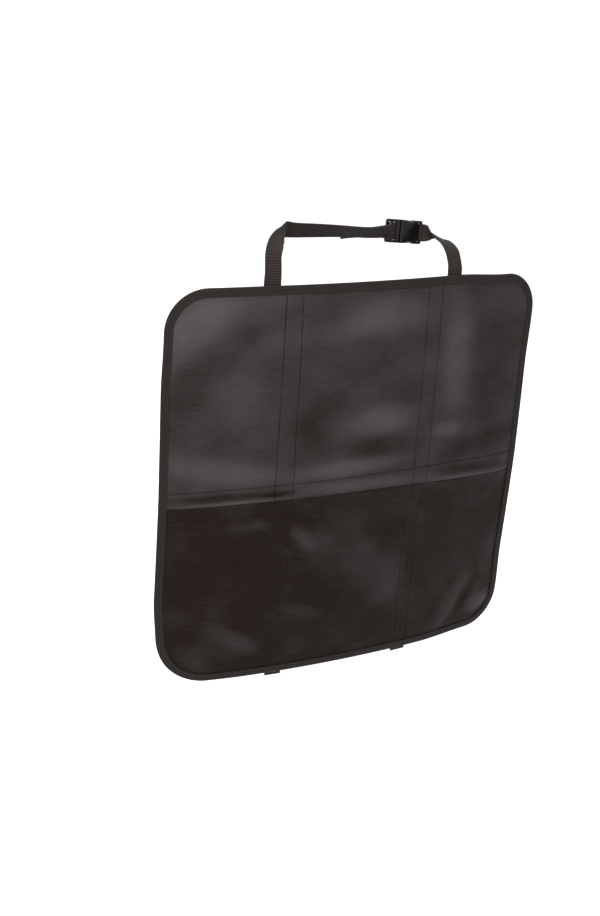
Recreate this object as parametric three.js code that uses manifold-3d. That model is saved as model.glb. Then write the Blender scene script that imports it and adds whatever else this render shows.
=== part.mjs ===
// A kick mat that hangs on the back of a car seat: one bound sheet of coated cloth, two webbing straps that
// meet in a side-release buckle behind the headrest posts, and two webbing loops at the lower edge.
// Millimetres, +Z up. The sheet's visible face looks along -Y and the seat is on its +Y side.
// The origin is midway between the two headrest posts, at the height where the strap passes behind them.

import * as THREE from 'three';
import { mergeVertices } from 'three/addons/utils/BufferGeometryUtils.js';
import Module from 'manifold-3d';

const wasm = await Module();
wasm.setup();

// Clearance between pieces that touch
const FIT = 0.3;

// The mat, its bound edge included
const MAT_WIDTH = 480;
const MAT_HEIGHT = 480;
const SHEET_THICK = 1.6;

// Corners: each has a radius of its own, and its seam draws it a few millimetres across and up
const UPPER_LEFT_RADIUS = 49;
const UPPER_RIGHT_RADIUS = 46;
const LOWER_LEFT_RADIUS = 66;
const LOWER_RIGHT_RADIUS = 47;
const UPPER_LEFT_PULL = [2.5, -0.5];
const UPPER_RIGHT_PULL = [3, -4.5];
const LOWER_LEFT_PULL = [5, 1];
const LOWER_RIGHT_PULL = [3.3, 3.8];
const PULLED_FROM = 120;
const PULLED_FULLY = 195;

// The mat follows the seat back: a gentle bow across, a slighter one down, and a fold at half height
const BOW_ACROSS_RADIUS = 1440;
const BOW_DOWN_RADIUS = 6200;
const FOLD_ANGLE = THREE.MathUtils.degToRad(2.2);

// Creases in pairs, left from the folded mat's packing: two pairs run down and one pair runs across
const CREASE_PAIR_ACROSS = 91;
const CREASE_PAIR_SPACING = 20;
const CREASE_HALF_WIDTH = 2.5;
const CREASE_DEPTH = 0.5;
const RIGHT_CREASE_JOG = 7;

// How finely the sheet and the binding are divided
const SHEET_PITCH = 30;
const SHEET_CORNER_STEPS = 6;
const BINDING_CORNER_STEPS = 16;

// Binding tape, folded over the sheet's edge
const TAPE_REACH = 9.5;
const TAPE_THICK = 0.7;

// Webbing
const WEBBING_WIDTH = 20;
const WEBBING_THICK = 1.1;
const WEBBING_ROUNDING = 0.3;
const RISE_FROM = 6;
const RISE_TO = 1.5;
const STRAP_ACROSS = 117;
const STRAP_SEWN_LENGTH = 30;
const HEM_LENGTH = 10;
const TAIL_LENGTH = 57;
const TAIL_DROOP = 2.5;
const FOLD_BACK_LENGTH = 16;
const STRANDS_MEET = 6;
const WRAP_FROM = 2;
const SLOT_BEND = 1.4;

// Webbing loops at the lower edge
const LEFT_TAB_ACROSS = -85;
const RIGHT_TAB_ACROSS = 92;
const TAB_SEWN_LENGTH = 22;
const TAB_BELOW = 5;

// Where the straps go: round the headrest posts
const POST_SPACING = 148;
const POST_DIAMETER = 12;
const POSTS_BEHIND_EDGE = 57;
const RUN_ABOVE_EDGE = 42;
const RUN_BEHIND_POST = 4.5;

// Buckle
const BUCKLE_WIDTH = 27;
const BUCKLE_THICK = 9.2;
const BAR_THICK = 3.2;
const BAR_LENGTH = 3;
const SLOT_LENGTH = 3.6;
const SLOT_SIDE_CLEARANCE = 0.5;
const PLUG_SHOULDER = 5;
const SOCKET_LENGTH = 31;
const MOUTH_LENGTH = 6;
const WINDOW_LENGTH = 11;
const PRONG_LENGTH = 21;
const PRONG_ROOT = 2.6;
const PRONG_THICK = 4.4;
const PRONG_TIP_WIDTH = 1.8;
const PRONG_TAPER = 0.6;
const ROOT_OVERLAP = 1;
const TONGUE_WIDTH = 4;
const TONGUE_SHORTER = 1.5;
const TONGUE_POINT = 2.5;
const RUNNING_CLEARANCE = 0.4;
const SOCKET_WALL = 2.3;
const WAIST_DEPTH = 2;
const WAIST_RUN = 4;
const WAIST_OVERLAP = 1;
const END_CLEARANCE = 1.2;
const FRAME_CORNER = 2.5;
const SLOT_CORNER = 0.6;
const SHOULDER_STEP = 1.1;
const BUCKLE_BEHIND_POST = 2;
const BUCKLE_PAST_POST = 0.4;
const BUCKLE_DROP = 4;
const LEAVING_ANGLE = THREE.MathUtils.degToRad(74);
const MOULD_ROUNDING = 0.5;
const SHOULDER_ROUNDING = 1;
const SOCKET_ROUNDING = 1.2;
const BUCKLE_TILT = THREE.MathUtils.degToRad(5.3);
const BUCKLE_LEAN = THREE.MathUtils.degToRad(8);

// Sizes worked out from those above
const EDGE_WALL = FIT + TAPE_THICK;
const HALF_SHEET = SHEET_THICK / 2;
const HALF_WEBBING = WEBBING_THICK / 2;
const STRAND_PITCH = WEBBING_THICK + FIT;
const TOP_EDGE = MAT_HEIGHT / 2;
const MAT_MIDDLE = new THREE.Vector3(0, -POSTS_BEHIND_EDGE - bowDown(TOP_EDGE), -RUN_ABOVE_EDGE - TOP_EDGE);
const ON_SHEET = HALF_SHEET + FIT + HALF_WEBBING;
const ON_TAPE = HALF_SHEET + EDGE_WALL + FIT + HALF_WEBBING;
const CREASE_REACH = CREASE_PAIR_SPACING / 2 + CREASE_HALF_WIDTH;

// The straps' free places are counted in this unit, so that they follow the posts' spacing
const STRAP_UNIT = POST_SPACING / 148;

// The mat's surface. A place on it is given by its distance across and up from the mat's middle,
// and by how far it stands out of the sheet's middle plane, towards the viewer.

function foldBow(up) {
  const band = CREASE_PAIR_SPACING / 2;
  const distance = Math.abs(up);
  const travelled = distance < band ? distance ** 2 / (2 * band) : distance - band / 2;
  return Math.tan(FOLD_ANGLE / 2) * travelled;
}

function bowDown(up) {
  return up ** 2 / (2 * BOW_DOWN_RADIUS) + foldBow(up);
}

function bowSlope(up) {
  const band = CREASE_PAIR_SPACING / 2;
  const share = THREE.MathUtils.clamp(up / band, -1, 1);
  return up / BOW_DOWN_RADIUS + Math.tan(FOLD_ANGLE / 2) * share;
}

function alongMat(across) {
  const angle = across / BOW_ACROSS_RADIUS;
  return new THREE.Vector3(Math.cos(angle), Math.sin(angle), 0);
}

function cornerAt(right, upper) {
  if (upper) {
    return right ? [UPPER_RIGHT_RADIUS, UPPER_RIGHT_PULL] : [UPPER_LEFT_RADIUS, UPPER_LEFT_PULL];
  }
  return right ? [LOWER_RIGHT_RADIUS, LOWER_RIGHT_PULL] : [LOWER_LEFT_RADIUS, LOWER_LEFT_PULL];
}

function pulled(across, up) {
  const share = (distance) => THREE.MathUtils.smoothstep(Math.abs(distance), PULLED_FROM, PULLED_FULLY);
  const [, pull] = cornerAt(across > 0, up > 0);
  return pull.map((length) => length * share(across) * share(up));
}

function onMat(squareAcross, squareUp, out) {
  const [pullAcross, pullUp] = pulled(squareAcross, squareUp);
  const across = squareAcross + pullAcross;
  const up = squareUp + pullUp;
  const angle = across / BOW_ACROSS_RADIUS;
  const normal = new THREE.Vector3(Math.sin(angle), -Math.cos(angle), bowSlope(up)).normalize();
  const back = BOW_ACROSS_RADIUS * (1 - Math.cos(angle)) + bowDown(up);
  return new THREE.Vector3(BOW_ACROSS_RADIUS * Math.sin(angle), back, up)
    .addScaledVector(normal, out)
    .add(MAT_MIDDLE);
}

// Joins a row of rings, each with as many points, into one closed body

function loft(rings, closed = false) {
  const count = rings[0].length;
  const index = [];
  const spans = closed ? rings.length : rings.length - 1;
  for (let ring = 0; ring < spans; ring += 1) {
    const here = ring * count;
    const next = ((ring + 1) % rings.length) * count;
    for (let j = 0; j < count; j += 1) {
      const k = (j + 1) % count;
      index.push(here + j, next + j, next + k, here + j, next + k, here + k);
    }
  }
  if (!closed) {
    const last = (rings.length - 1) * count;
    for (let j = 1; j < count - 1; j += 1) {
      index.push(0, j, j + 1, last, last + j + 1, last + j);
    }
  }
  const geometry = new THREE.BufferGeometry().setFromPoints(rings.flat());
  geometry.setIndex(index);
  return geometry;
}

// Sheet

// How far the sheet reaches from its middle line, on one side and at one height
function sheetReach(right, up) {
  const radius = cornerAt(right, up > 0)[0] - EDGE_WALL;
  const intoCorner = Math.max(0, Math.abs(up) - (MAT_HEIGHT / 2 - EDGE_WALL - radius));
  return MAT_WIDTH / 2 - EDGE_WALL - radius + Math.sqrt(Math.max(0, radius ** 2 - intoCorner ** 2));
}

function creaseMiddle(side, up) {
  const jog = side > 0 && up < 0 ? RIGHT_CREASE_JOG * (1 + up / TOP_EDGE) : 0;
  return side * CREASE_PAIR_ACROSS - jog;
}

function spread(from, to, pitch) {
  const steps = Math.max(1, Math.round(Math.abs(to - from) / pitch));
  return Array.from({ length: steps }, (_, i) => from + ((to - from) * i) / steps);
}

// Each line is a distance from the pair's middle and how far the cloth is pressed in there
function creaseLines() {
  const half = CREASE_PAIR_SPACING / 2;
  return [-half, half].flatMap((line) => [
    { at: line - CREASE_HALF_WIDTH, depth: 0 },
    { at: line, depth: CREASE_DEPTH },
    { at: line + CREASE_HALF_WIDTH, depth: 0 },
  ]);
}

// From an edge in to a crease pair, with one stop where the tape ends and the creases begin
function stopsInward(edge, corner, creases) {
  const stops = [...corner, edge - TAPE_REACH, ...spread(corner.at(-1), creases, SHEET_PITCH).slice(1)];
  return stops.sort((a, b) => b - a).map((at) => ({ side: 0, at, depth: 0 }));
}

function mirrored(stops) {
  return stops.map((stop) => ({ ...stop, at: -stop.at }));
}

function sheetColumns() {
  const edge = MAT_WIDTH / 2 - EDGE_WALL;
  const inner = CREASE_PAIR_ACROSS - CREASE_REACH;
  const pair = (side) => creaseLines().map((line) => ({ side, ...line }));
  const middle = spread(-inner, inner, SHEET_PITCH).slice(1).map((at) => ({ side: 0, at, depth: 0 }));
  const outer = stopsInward(edge, [edge], CREASE_PAIR_ACROSS + CREASE_REACH);
  return [...mirrored(outer), ...pair(-1), ...middle, ...pair(1), ...outer.reverse()];
}

// The rows lie closer together round the corners
function rowsInward(cornerRadius) {
  const edge = MAT_HEIGHT / 2 - EDGE_WALL;
  const radius = cornerRadius - EDGE_WALL;
  const corner = [];
  for (let step = SHEET_CORNER_STEPS; step >= 0; step -= 1) {
    const angle = (Math.PI / 2) * (step / SHEET_CORNER_STEPS);
    corner.push(edge - radius + radius * Math.sin(angle));
  }
  return stopsInward(edge, corner, CREASE_REACH);
}

function sheetRows() {
  const upper = rowsInward(Math.max(UPPER_LEFT_RADIUS, UPPER_RIGHT_RADIUS));
  const lower = rowsInward(Math.max(LOWER_LEFT_RADIUS, LOWER_RIGHT_RADIUS));
  return [...mirrored(lower), ...creaseLines(), ...upper.reverse()];
}

// The columns outside the crease pairs close up where a round corner narrows the sheet
function columnAcross(column, up) {
  if (column.side) {
    return creaseMiddle(column.side, up) + column.at;
  }
  const inner = CREASE_PAIR_ACROSS + CREASE_REACH;
  const beyond = Math.abs(column.at) - inner;
  if (beyond <= 0) {
    return column.at;
  }
  const share = beyond / (MAT_WIDTH / 2 - EDGE_WALL - inner);
  return Math.sign(column.at) * (inner + share * (sheetReach(column.at > 0, up) - inner));
}

function sheetPlace(column, row, face) {
  const up = row.at;
  const across = columnAcross(column, up);
  const clearAbove = Math.abs(up) < MAT_HEIGHT / 2 - TAPE_REACH - EDGE_WALL;
  const clearBeside = Math.abs(across) < MAT_WIDTH / 2 - TAPE_REACH - EDGE_WALL;
  const depth = clearAbove && clearBeside ? Math.max(column.depth, row.depth) : 0;
  return onMat(across, up, face * HALF_SHEET - depth);
}

function sheet() {
  const columns = sheetColumns();
  const rows = sheetRows();
  const geometry = new THREE.BoxGeometry(1, 1, 1, columns.length - 1, 1, rows.length - 1);
  const position = geometry.attributes.position;
  for (let i = 0; i < position.count; i += 1) {
    const column = columns[Math.round((position.getX(i) + 0.5) * (columns.length - 1))];
    const row = rows[Math.round((position.getZ(i) + 0.5) * (rows.length - 1))];
    const place = sheetPlace(column, row, -Math.sign(position.getY(i)));
    position.setXYZ(i, place.x, place.y, place.z);
  }
  return geometry;
}

// Binding: the tape's folded section is carried round the mat's outline

// Where the sheet's rows or columns meet one side, so that the binding bends with it and keeps its clearance.
// The sides are counted from the right one, and the distances run the way that the outline does.
function stopsAlong(side) {
  const edge = MAT_HEIGHT / 2 - EDGE_WALL;
  const stops = side % 2
    ? sheetColumns().map((column) => columnAcross(column, side === 1 ? edge : -edge))
    : sheetRows().map((row) => row.at);
  return side === 1 || side === 2 ? stops.map((at) => -at).reverse() : stops;
}

function outlineStations() {
  const stations = [];
  const quarter = Math.PI / 2;
  const radii = [UPPER_RIGHT_RADIUS, UPPER_LEFT_RADIUS, LOWER_LEFT_RADIUS, LOWER_RIGHT_RADIUS];
  for (let side = 0; side < 4; side += 1) {
    const turn = side * quarter;
    const outward = new THREE.Vector2(Math.round(Math.cos(turn)), Math.round(Math.sin(turn)));
    const along = new THREE.Vector2(-outward.y, outward.x);
    const [half, distance] = side % 2 ? [MAT_WIDTH / 2, MAT_HEIGHT / 2] : [MAT_HEIGHT / 2, MAT_WIDTH / 2];
    const radius = radii[side];
    const start = radii.at(side - 1) - half;
    const between = stopsAlong(side).filter((at) => at > start + TAPE_THICK && at < half - radius - TAPE_THICK);
    for (const step of [start, ...between]) {
      const at = along.clone().multiplyScalar(step).addScaledVector(outward, distance);
      stations.push({ at, inward: outward.clone().negate() });
    }
    const centre = along.clone().multiplyScalar(half - radius).addScaledVector(outward, distance - radius);
    for (const bend of spread(0, quarter, quarter / BINDING_CORNER_STEPS)) {
      const direction = new THREE.Vector2(Math.cos(turn + bend), Math.sin(turn + bend));
      stations.push({ at: centre.clone().addScaledVector(direction, radius), inward: direction.negate() });
    }
  }
  return stations;
}

// Each point is how far in from the mat's edge, and how far out of the sheet's middle
function tapeSection() {
  const inner = HALF_SHEET + FIT;
  const outer = inner + TAPE_THICK;
  const face = [
    [TAPE_REACH, inner],
    [TAPE_REACH, outer],
    [outer * 0.8, outer],
    [outer * 0.3, outer * 0.7],
    [0, outer * 0.25],
  ];
  const mirrored = face.map(([depth, out]) => [depth, -out]).reverse();
  return [[TAPE_THICK, inner], ...face, ...mirrored, [TAPE_THICK, -inner]].reverse();
}

function binding() {
  const section = tapeSection();
  const rings = outlineStations().map(({ at, inward }) => section.map(([depth, out]) => {
    const place = at.clone().addScaledVector(inward, depth);
    return onMat(place.x, place.y, out);
  }));
  return loft(rings, true);
}

// Webbing: a flat section carried along a strand. A strand is a list of places, each with the direction
// in which the webbing's width lies, from its left edge to its right edge as it leaves the mat.

function place(point, across) {
  return { point, across };
}

function smoothStrand(places, steps) {
  const route = new THREE.CatmullRomCurve3(places.map((entry) => entry.point), false, 'centripetal');
  const width = new THREE.CatmullRomCurve3(places.map((entry) => entry.across), false, 'centripetal');
  const total = steps * (places.length - 1);
  const strand = [];
  for (let i = 0; i <= total; i += 1) {
    strand.push(place(route.getPoint(i / total), width.getPoint(i / total).normalize()));
  }
  return strand;
}

// Adds to each place of a strand its frame: along, across and out of the webbing's face
function framed(strand) {
  return strand.map((entry, i) => {
    const before = strand[Math.max(0, i - 1)].point;
    const after = strand[Math.min(strand.length - 1, i + 1)].point;
    const along = after.clone().sub(before).normalize();
    const out = along.clone().cross(entry.across).normalize();
    return { point: entry.point, across: out.clone().cross(along), out };
  });
}

function webbing(strand) {
  const width = WEBBING_WIDTH / 2;
  const thick = HALF_WEBBING;
  const cut = WEBBING_ROUNDING;
  const corner = (x, z) => [
    [x * width, z * (thick - cut)],
    [x * (width - cut), z * thick],
  ];
  const section = [
    ...corner(1, -1),
    ...corner(-1, -1).reverse(),
    ...corner(-1, 1),
    ...corner(1, 1).reverse(),
  ];
  return loft(framed(strand).map(({ point, across, out }) => section.map(([x, z]) => (
    point.clone().addScaledVector(across, x).addScaledVector(out, z)
  ))));
}

// A second layer laid on a strand, stepped out by one thickness and let down towards its far end
function layerOn(strand, side, droop = 0) {
  return framed(strand).map(({ point, across, out }, i) => {
    const share = i / (strand.length - 1);
    const moved = point.clone().addScaledVector(out, side * STRAND_PITCH);
    return place(moved.addScaledVector(across, droop * share ** 2), across);
  });
}

// Half a turn of webbing from the end of one layer to the next
function turnAtEnd(strand, side) {
  const end = framed(strand).at(-1);
  const along = end.across.clone().cross(end.out);
  return [-60, -30, 0, 30, 60].map((degrees) => {
    const angle = THREE.MathUtils.degToRad(degrees);
    const point = end.point.clone()
      .addScaledVector(end.out, (side * STRAND_PITCH * (1 + Math.sin(angle))) / 2)
      .addScaledVector(along, (STRAND_PITCH / 2) * Math.cos(angle));
    return place(point, end.across);
  });
}

// The places of a strand that lie between two distances along it
function cutStrand(strand, from, to) {
  let travelled = 0;
  return strand.filter((entry, i) => {
    travelled += i ? entry.point.distanceTo(strand[i - 1].point) : 0;
    return travelled >= from && travelled <= to;
  });
}

// Where a strap is sewn to the back of the mat and rises over the binding
function sewnEnd(across) {
  const edge = TOP_EDGE;
  const tapeEdge = edge - TAPE_REACH;
  const rises = [
    [edge - STRAP_SEWN_LENGTH, ON_SHEET],
    [tapeEdge - RISE_FROM, ON_SHEET],
    [tapeEdge - RISE_TO, ON_TAPE],
    [edge - TAPE_REACH / 4, ON_TAPE],
    [edge + TAPE_REACH / 3, ON_TAPE],
  ];
  return rises.map(([up, behind]) => place(onMat(across, up, -behind), alongMat(across)));
}

// Buckle: its own frame has x along the strap from plug to socket, y away from the viewer, z up its width,
// and x = 0 where the plug's shoulder meets the socket's mouth

const PLUG_LENGTH = 2 * BAR_LENGTH + 2 * SLOT_LENGTH + PLUG_SHOULDER;
const HALF_BAR = BAR_THICK / 2;
const SLOT_WIDTH = WEBBING_WIDTH + 2 * SLOT_SIDE_CLEARANCE;
const SOCKET_BODY = SOCKET_LENGTH - BAR_LENGTH - SLOT_LENGTH;
const MOUTH_HALF = BUCKLE_WIDTH / 2 - SOCKET_WALL;
const BUCKLE_BACK = POST_DIAMETER / 2 + BUCKLE_THICK / 2 + BUCKLE_BEHIND_POST;

const buckle = new THREE.Group();
buckle.position.set(POST_SPACING / 2 + BUCKLE_PAST_POST, BUCKLE_BACK, -BUCKLE_DROP);
buckle.rotation.set(-BUCKLE_LEAN, BUCKLE_TILT, 0, 'YXZ');
buckle.updateMatrixWorld(true);

function inBuckle(x, y, z = 0) {
  return new THREE.Vector3(x, y, z).applyMatrix4(buckle.matrixWorld);
}

function buckleDirection(x, y, z) {
  return new THREE.Vector3(x, y, z).transformDirection(buckle.matrixWorld);
}

function arc(centreX, centreY, radius, from, to, steps) {
  return Array.from({ length: steps + 1 }, (_, i) => {
    const angle = THREE.MathUtils.degToRad(from + ((to - from) * i) / steps);
    return [centreX + radius * Math.cos(angle), centreY + radius * Math.sin(angle)];
  });
}

// The strap comes up through the inner slot, over the middle bar and down through the outer slot,
// so that its tail is pinched between the outer bar and the strap's own load side
function ladderRoute() {
  const tail = -(HALF_BAR + FIT + HALF_WEBBING);
  const load = tail - STRAND_PITCH;
  const over = -tail;
  const innerSlot = -PLUG_SHOULDER - SLOT_LENGTH / 2;
  const outerSlot = innerSlot - SLOT_LENGTH - BAR_LENGTH;
  const bend = SLOT_BEND;
  return {
    load,
    tail,
    points: [
      ...arc(innerSlot - bend, load + bend, bend, -90, 0, 4),
      ...arc(innerSlot - bend, over - bend, bend, 0, 90, 4),
      ...arc(outerSlot + bend, over - bend, bend, 90, 180, 4),
      ...arc(outerSlot - bend, tail + bend, bend, 0, -90, 4),
    ],
  };
}

// The width direction of webbing that runs sideways with its upper edge leaning towards the viewer
function leaning(degrees) {
  const angle = THREE.MathUtils.degToRad(degrees);
  return new THREE.Vector3(0, Math.sin(angle), -Math.cos(angle));
}

// A point given in strap units from a start
function unitsFrom(start, x, y, z) {
  return new THREE.Vector3(x, y, z).multiplyScalar(STRAP_UNIT).add(start);
}

// The free places of a strap between the mat and the posts: a point beside its post and the width's direction
function climb(post, places) {
  const start = new THREE.Vector3(post, 0, 0);
  return places.map(([point, across]) => place(unitsFrom(start, ...point), new THREE.Vector3(...across)));
}

// The long strap climbs to the left post, turns on edge round it and runs behind both posts to the plug
function leftStrapRoute() {
  const post = -POST_SPACING / 2;
  const { load } = ladderRoute();
  const climbing = climb(post, [
    [[-42.9, -50, -28], [1, 0, -0.05]],
    [[-41.9, -46, -10], [0.99, 0.03, -0.13]],
    [[-37.6, -40, -3], [0.96, 0.09, -0.27]],
    [[-32, -33, 0.6], [0.88, 0.22, -0.42]],
    [[-24.6, -24, 2.7], [0.71, 0.35, -0.61]],
    [[-15.2, -13, 3.7], [0.48, 0.45, -0.75]],
    [[-8.5, -3, 4.4], [0.2, 0.35, -0.9]],
  ]);
  const behindPost = new THREE.Vector3(post, POST_DIAMETER / 2 + RUN_BEHIND_POST, 0);
  const running = [
    [1, 0, 3.4, 20],
    [12, 0, 2.4, 25],
    [32, 0, 1.4, 29],
    [63, 0, -0.4, 37],
    [92, -0.5, -2.5, 43],
    [109, -2.5, -3.6, 44],
  ].map(([x, y, z, lean]) => place(unitsFrom(behindPost, x, y, z), leaning(lean)));
  const plugRear = new THREE.Vector3(-PLUG_LENGTH, load, 0);
  const arriving = [
    [-6, -5, -1.5, 36],
    [0, -4, -0.5, 16],
    [4, -1.8, -0.2, 1],
  ].map(([x, y, z, lean]) => place(inBuckle(...unitsFrom(plugRear, x, y, z)), leaning(lean)));
  const threaded = place(inBuckle(-PLUG_LENGTH / 2, load, 0), buckleDirection(0, 0, -1));
  return smoothStrand([...sewnEnd(-STRAP_ACROSS), ...climbing, ...running, ...arriving, threaded], 3);
}

function leftStrap() {
  const { points } = ladderRoute();
  const route = leftStrapRoute();
  const ladder = points.map(([x, y]) => place(inBuckle(x, y), buckleDirection(0, 0, -1)));
  const run = route.slice().reverse();
  const tail = layerOn(cutStrand(run, PLUG_LENGTH / 2, PLUG_LENGTH / 2 + TAIL_LENGTH), -1, TAIL_DROOP);
  const hem = layerOn(cutStrand(tail.slice().reverse(), 0, HEM_LENGTH), 1);
  return webbing([...route, ...ladder, ...tail, ...turnAtEnd(tail, -1), ...hem]);
}

// The short strap leaves the socket's bar towards the mat, and is turned over once on its way down
function rightStrapRoute() {
  const climbing = climb(POST_SPACING / 2, [
    [[41.5, -49, -29.7], [0.99, 0.13, -0.04]],
    [[41.1, -42, -17.5], [0.99, 0.14, 0]],
    [[40.5, -34, -11.5], [0.96, 0.26, -0.04]],
    [[39.8, -26, -8.7], [0.88, 0.46, -0.07]],
    [[38, -19, -7.4], [0.75, 0.65, -0.12]],
    [[35.5, -12, -4.8], [0.55, 0.8, -0.21]],
    [[33.5, -6, -3.8], [0.44, 0.74, -0.46]],
    [[32.5, -1, -3.4], [0.35, 0.64, -0.66]],
  ]);
  const arriving = [
    place(besideBar(STRANDS_MEET, -STRAND_PITCH / 2), buckleDirection(0, 0, -1)),
    place(besideBar(WRAP_FROM, -HALF_BAR - 2 * FIT - HALF_WEBBING), buckleDirection(0, 0, -1)),
  ];
  return smoothStrand([...sewnEnd(STRAP_ACROSS), ...climbing, ...arriving], 3);
}

// A place by the socket's bar: how far along the strap's way out from the bar, and how far behind it
function besideBar(along, behind) {
  const barMiddle = SOCKET_LENGTH - BAR_LENGTH / 2;
  const x = barMiddle + along * Math.cos(LEAVING_ANGLE) + behind * Math.sin(LEAVING_ANGLE);
  const y = -along * Math.sin(LEAVING_ANGLE) + behind * Math.cos(LEAVING_ANGLE);
  return inBuckle(x, y);
}

function rightStrap() {
  const wrap = HALF_BAR + 2 * FIT + HALF_WEBBING;
  const route = rightStrapRoute();
  const loop = arc(0, 0, wrap, -90, -270, 8)
    .map(([along, behind]) => place(besideBar(along, behind), buckleDirection(0, 0, -1)));
  const foldBack = layerOn(cutStrand(route.slice().reverse(), STRANDS_MEET, FOLD_BACK_LENGTH), 1);
  return webbing([...route, ...loop, ...foldBack]);
}

// Buckle halves

// A flat plate whose outline lies in the buckle's x and z, with its edges rounded
function plate(shape, thickness, rounding = MOULD_ROUNDING) {
  const depth = thickness - 2 * rounding;
  const geometry = new THREE.ExtrudeGeometry(shape, {
    depth,
    curveSegments: 4,
    bevelEnabled: rounding > 0,
    bevelThickness: rounding,
    bevelSize: rounding,
    bevelOffset: -rounding,
    bevelSegments: 2,
  });
  geometry.translate(0, 0, -depth / 2);
  return geometry.rotateX(Math.PI / 2);
}

function solid(geometry) {
  const bare = geometry.index ? geometry.toNonIndexed() : geometry.clone();
  bare.deleteAttribute('normal');
  bare.deleteAttribute('uv');
  const merged = mergeVertices(bare, 1e-4);
  return new wasm.Manifold(new wasm.Mesh({
    numProp: 3,
    vertProperties: merged.attributes.position.array,
    triVerts: new Uint32Array(merged.index.array),
  }));
}

function geometryOf(body) {
  const mesh = body.getMesh();
  const geometry = new THREE.BufferGeometry();
  geometry.setAttribute('position', new THREE.BufferAttribute(mesh.vertProperties, 3));
  geometry.setIndex(new THREE.BufferAttribute(mesh.triVerts, 1));
  return geometry;
}

function roundedOutline(Path, left, right, half, radius) {
  const outline = new Path();
  outline.moveTo(left + radius, -half);
  outline.lineTo(right - radius, -half);
  outline.quadraticCurveTo(right, -half, right, -half + radius);
  outline.lineTo(right, half - radius);
  outline.quadraticCurveTo(right, half, right - radius, half);
  outline.lineTo(left + radius, half);
  outline.quadraticCurveTo(left, half, left, half - radius);
  outline.lineTo(left, -half + radius);
  outline.quadraticCurveTo(left, -half, left + radius, -half);
  return outline;
}

// One springy side arm: a slim root, a thumb pad whose step catches behind the mouth, and a tapered tip
function prongShape(side) {
  const rootOuter = MOUTH_HALF - RUNNING_CLEARANCE;
  const rootInner = rootOuter - PRONG_ROOT;
  const catchAt = MOUTH_LENGTH + RUNNING_CLEARANCE;
  const padEnd = MOUTH_LENGTH + WINDOW_LENGTH - RUNNING_CLEARANCE;
  const pad = BUCKLE_WIDTH / 2 - RUNNING_CLEARANCE / 2;
  const tip = rootInner - PRONG_TAPER;
  const shape = new THREE.Shape();
  shape.moveTo(-ROOT_OVERLAP, side * rootInner);
  shape.lineTo(-ROOT_OVERLAP, side * rootOuter);
  shape.lineTo(catchAt, side * rootOuter);
  shape.lineTo(catchAt, side * pad);
  shape.quadraticCurveTo(padEnd - PRONG_TAPER, side * pad, padEnd, side * (rootOuter - PRONG_TAPER));
  shape.lineTo(PRONG_LENGTH, side * (tip + PRONG_TIP_WIDTH));
  shape.lineTo(PRONG_LENGTH, side * tip);
  shape.quadraticCurveTo(padEnd, side * (rootInner + PRONG_TAPER), catchAt, side * rootInner);
  return shape;
}

function tongueShape() {
  const half = TONGUE_WIDTH / 2;
  const end = PRONG_LENGTH - TONGUE_SHORTER;
  const shape = new THREE.Shape();
  shape.moveTo(-ROOT_OVERLAP, -half);
  shape.lineTo(end - TONGUE_POINT, -half);
  shape.lineTo(end, -half / 2);
  shape.lineTo(end, half / 2);
  shape.lineTo(end - TONGUE_POINT, half);
  shape.lineTo(-ROOT_OVERLAP, half);
  return shape;
}

function plug() {
  const half = BUCKLE_WIDTH / 2;
  const frame = roundedOutline(THREE.Shape, -PLUG_LENGTH, -FIT, half, FRAME_CORNER);
  const innerSlot = -PLUG_SHOULDER;
  for (const slotEnd of [innerSlot, innerSlot - SLOT_LENGTH - BAR_LENGTH]) {
    frame.holes.push(roundedOutline(THREE.Path, slotEnd - SLOT_LENGTH, slotEnd, SLOT_WIDTH / 2, SLOT_CORNER));
  }
  const shoulder = roundedOutline(THREE.Shape, -PLUG_SHOULDER, -FIT, half, 2 * SHOULDER_STEP);
  return [
    plate(shoulder, BUCKLE_THICK - 2 * SHOULDER_STEP, SHOULDER_ROUNDING),
    plate(prongShape(1), PRONG_THICK),
    plate(prongShape(-1), PRONG_THICK),
    plate(tongueShape(), PRONG_THICK - 2 * MOULD_ROUNDING),
  ].reduce((body, piece) => body.add(solid(piece)), solid(plate(frame, BAR_THICK)));
}

// The socket's plates are waisted beside its windows, so that finger and thumb reach the prongs' pads
function socketShape() {
  const half = BUCKLE_WIDTH / 2;
  const waist = half - WAIST_DEPTH;
  const start = MOUTH_LENGTH - WAIST_OVERLAP;
  const end = MOUTH_LENGTH + WINDOW_LENGTH + WAIST_OVERLAP;
  const shape = new THREE.Shape();
  shape.moveTo(0, -half);
  for (const side of [-1, 1]) {
    const [near, far, from, to] = side < 0 ? [0, SOCKET_BODY, start, end] : [SOCKET_BODY, 0, end, start];
    const run = -side * WAIST_RUN;
    shape.lineTo(near, side * half);
    shape.lineTo(from, side * half);
    shape.quadraticCurveTo(from + run / 2, side * waist, from + run, side * waist);
    shape.lineTo(to - run, side * waist);
    shape.quadraticCurveTo(to - run / 2, side * waist, to, side * half);
    shape.lineTo(far, side * half);
  }
  return shape;
}

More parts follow.
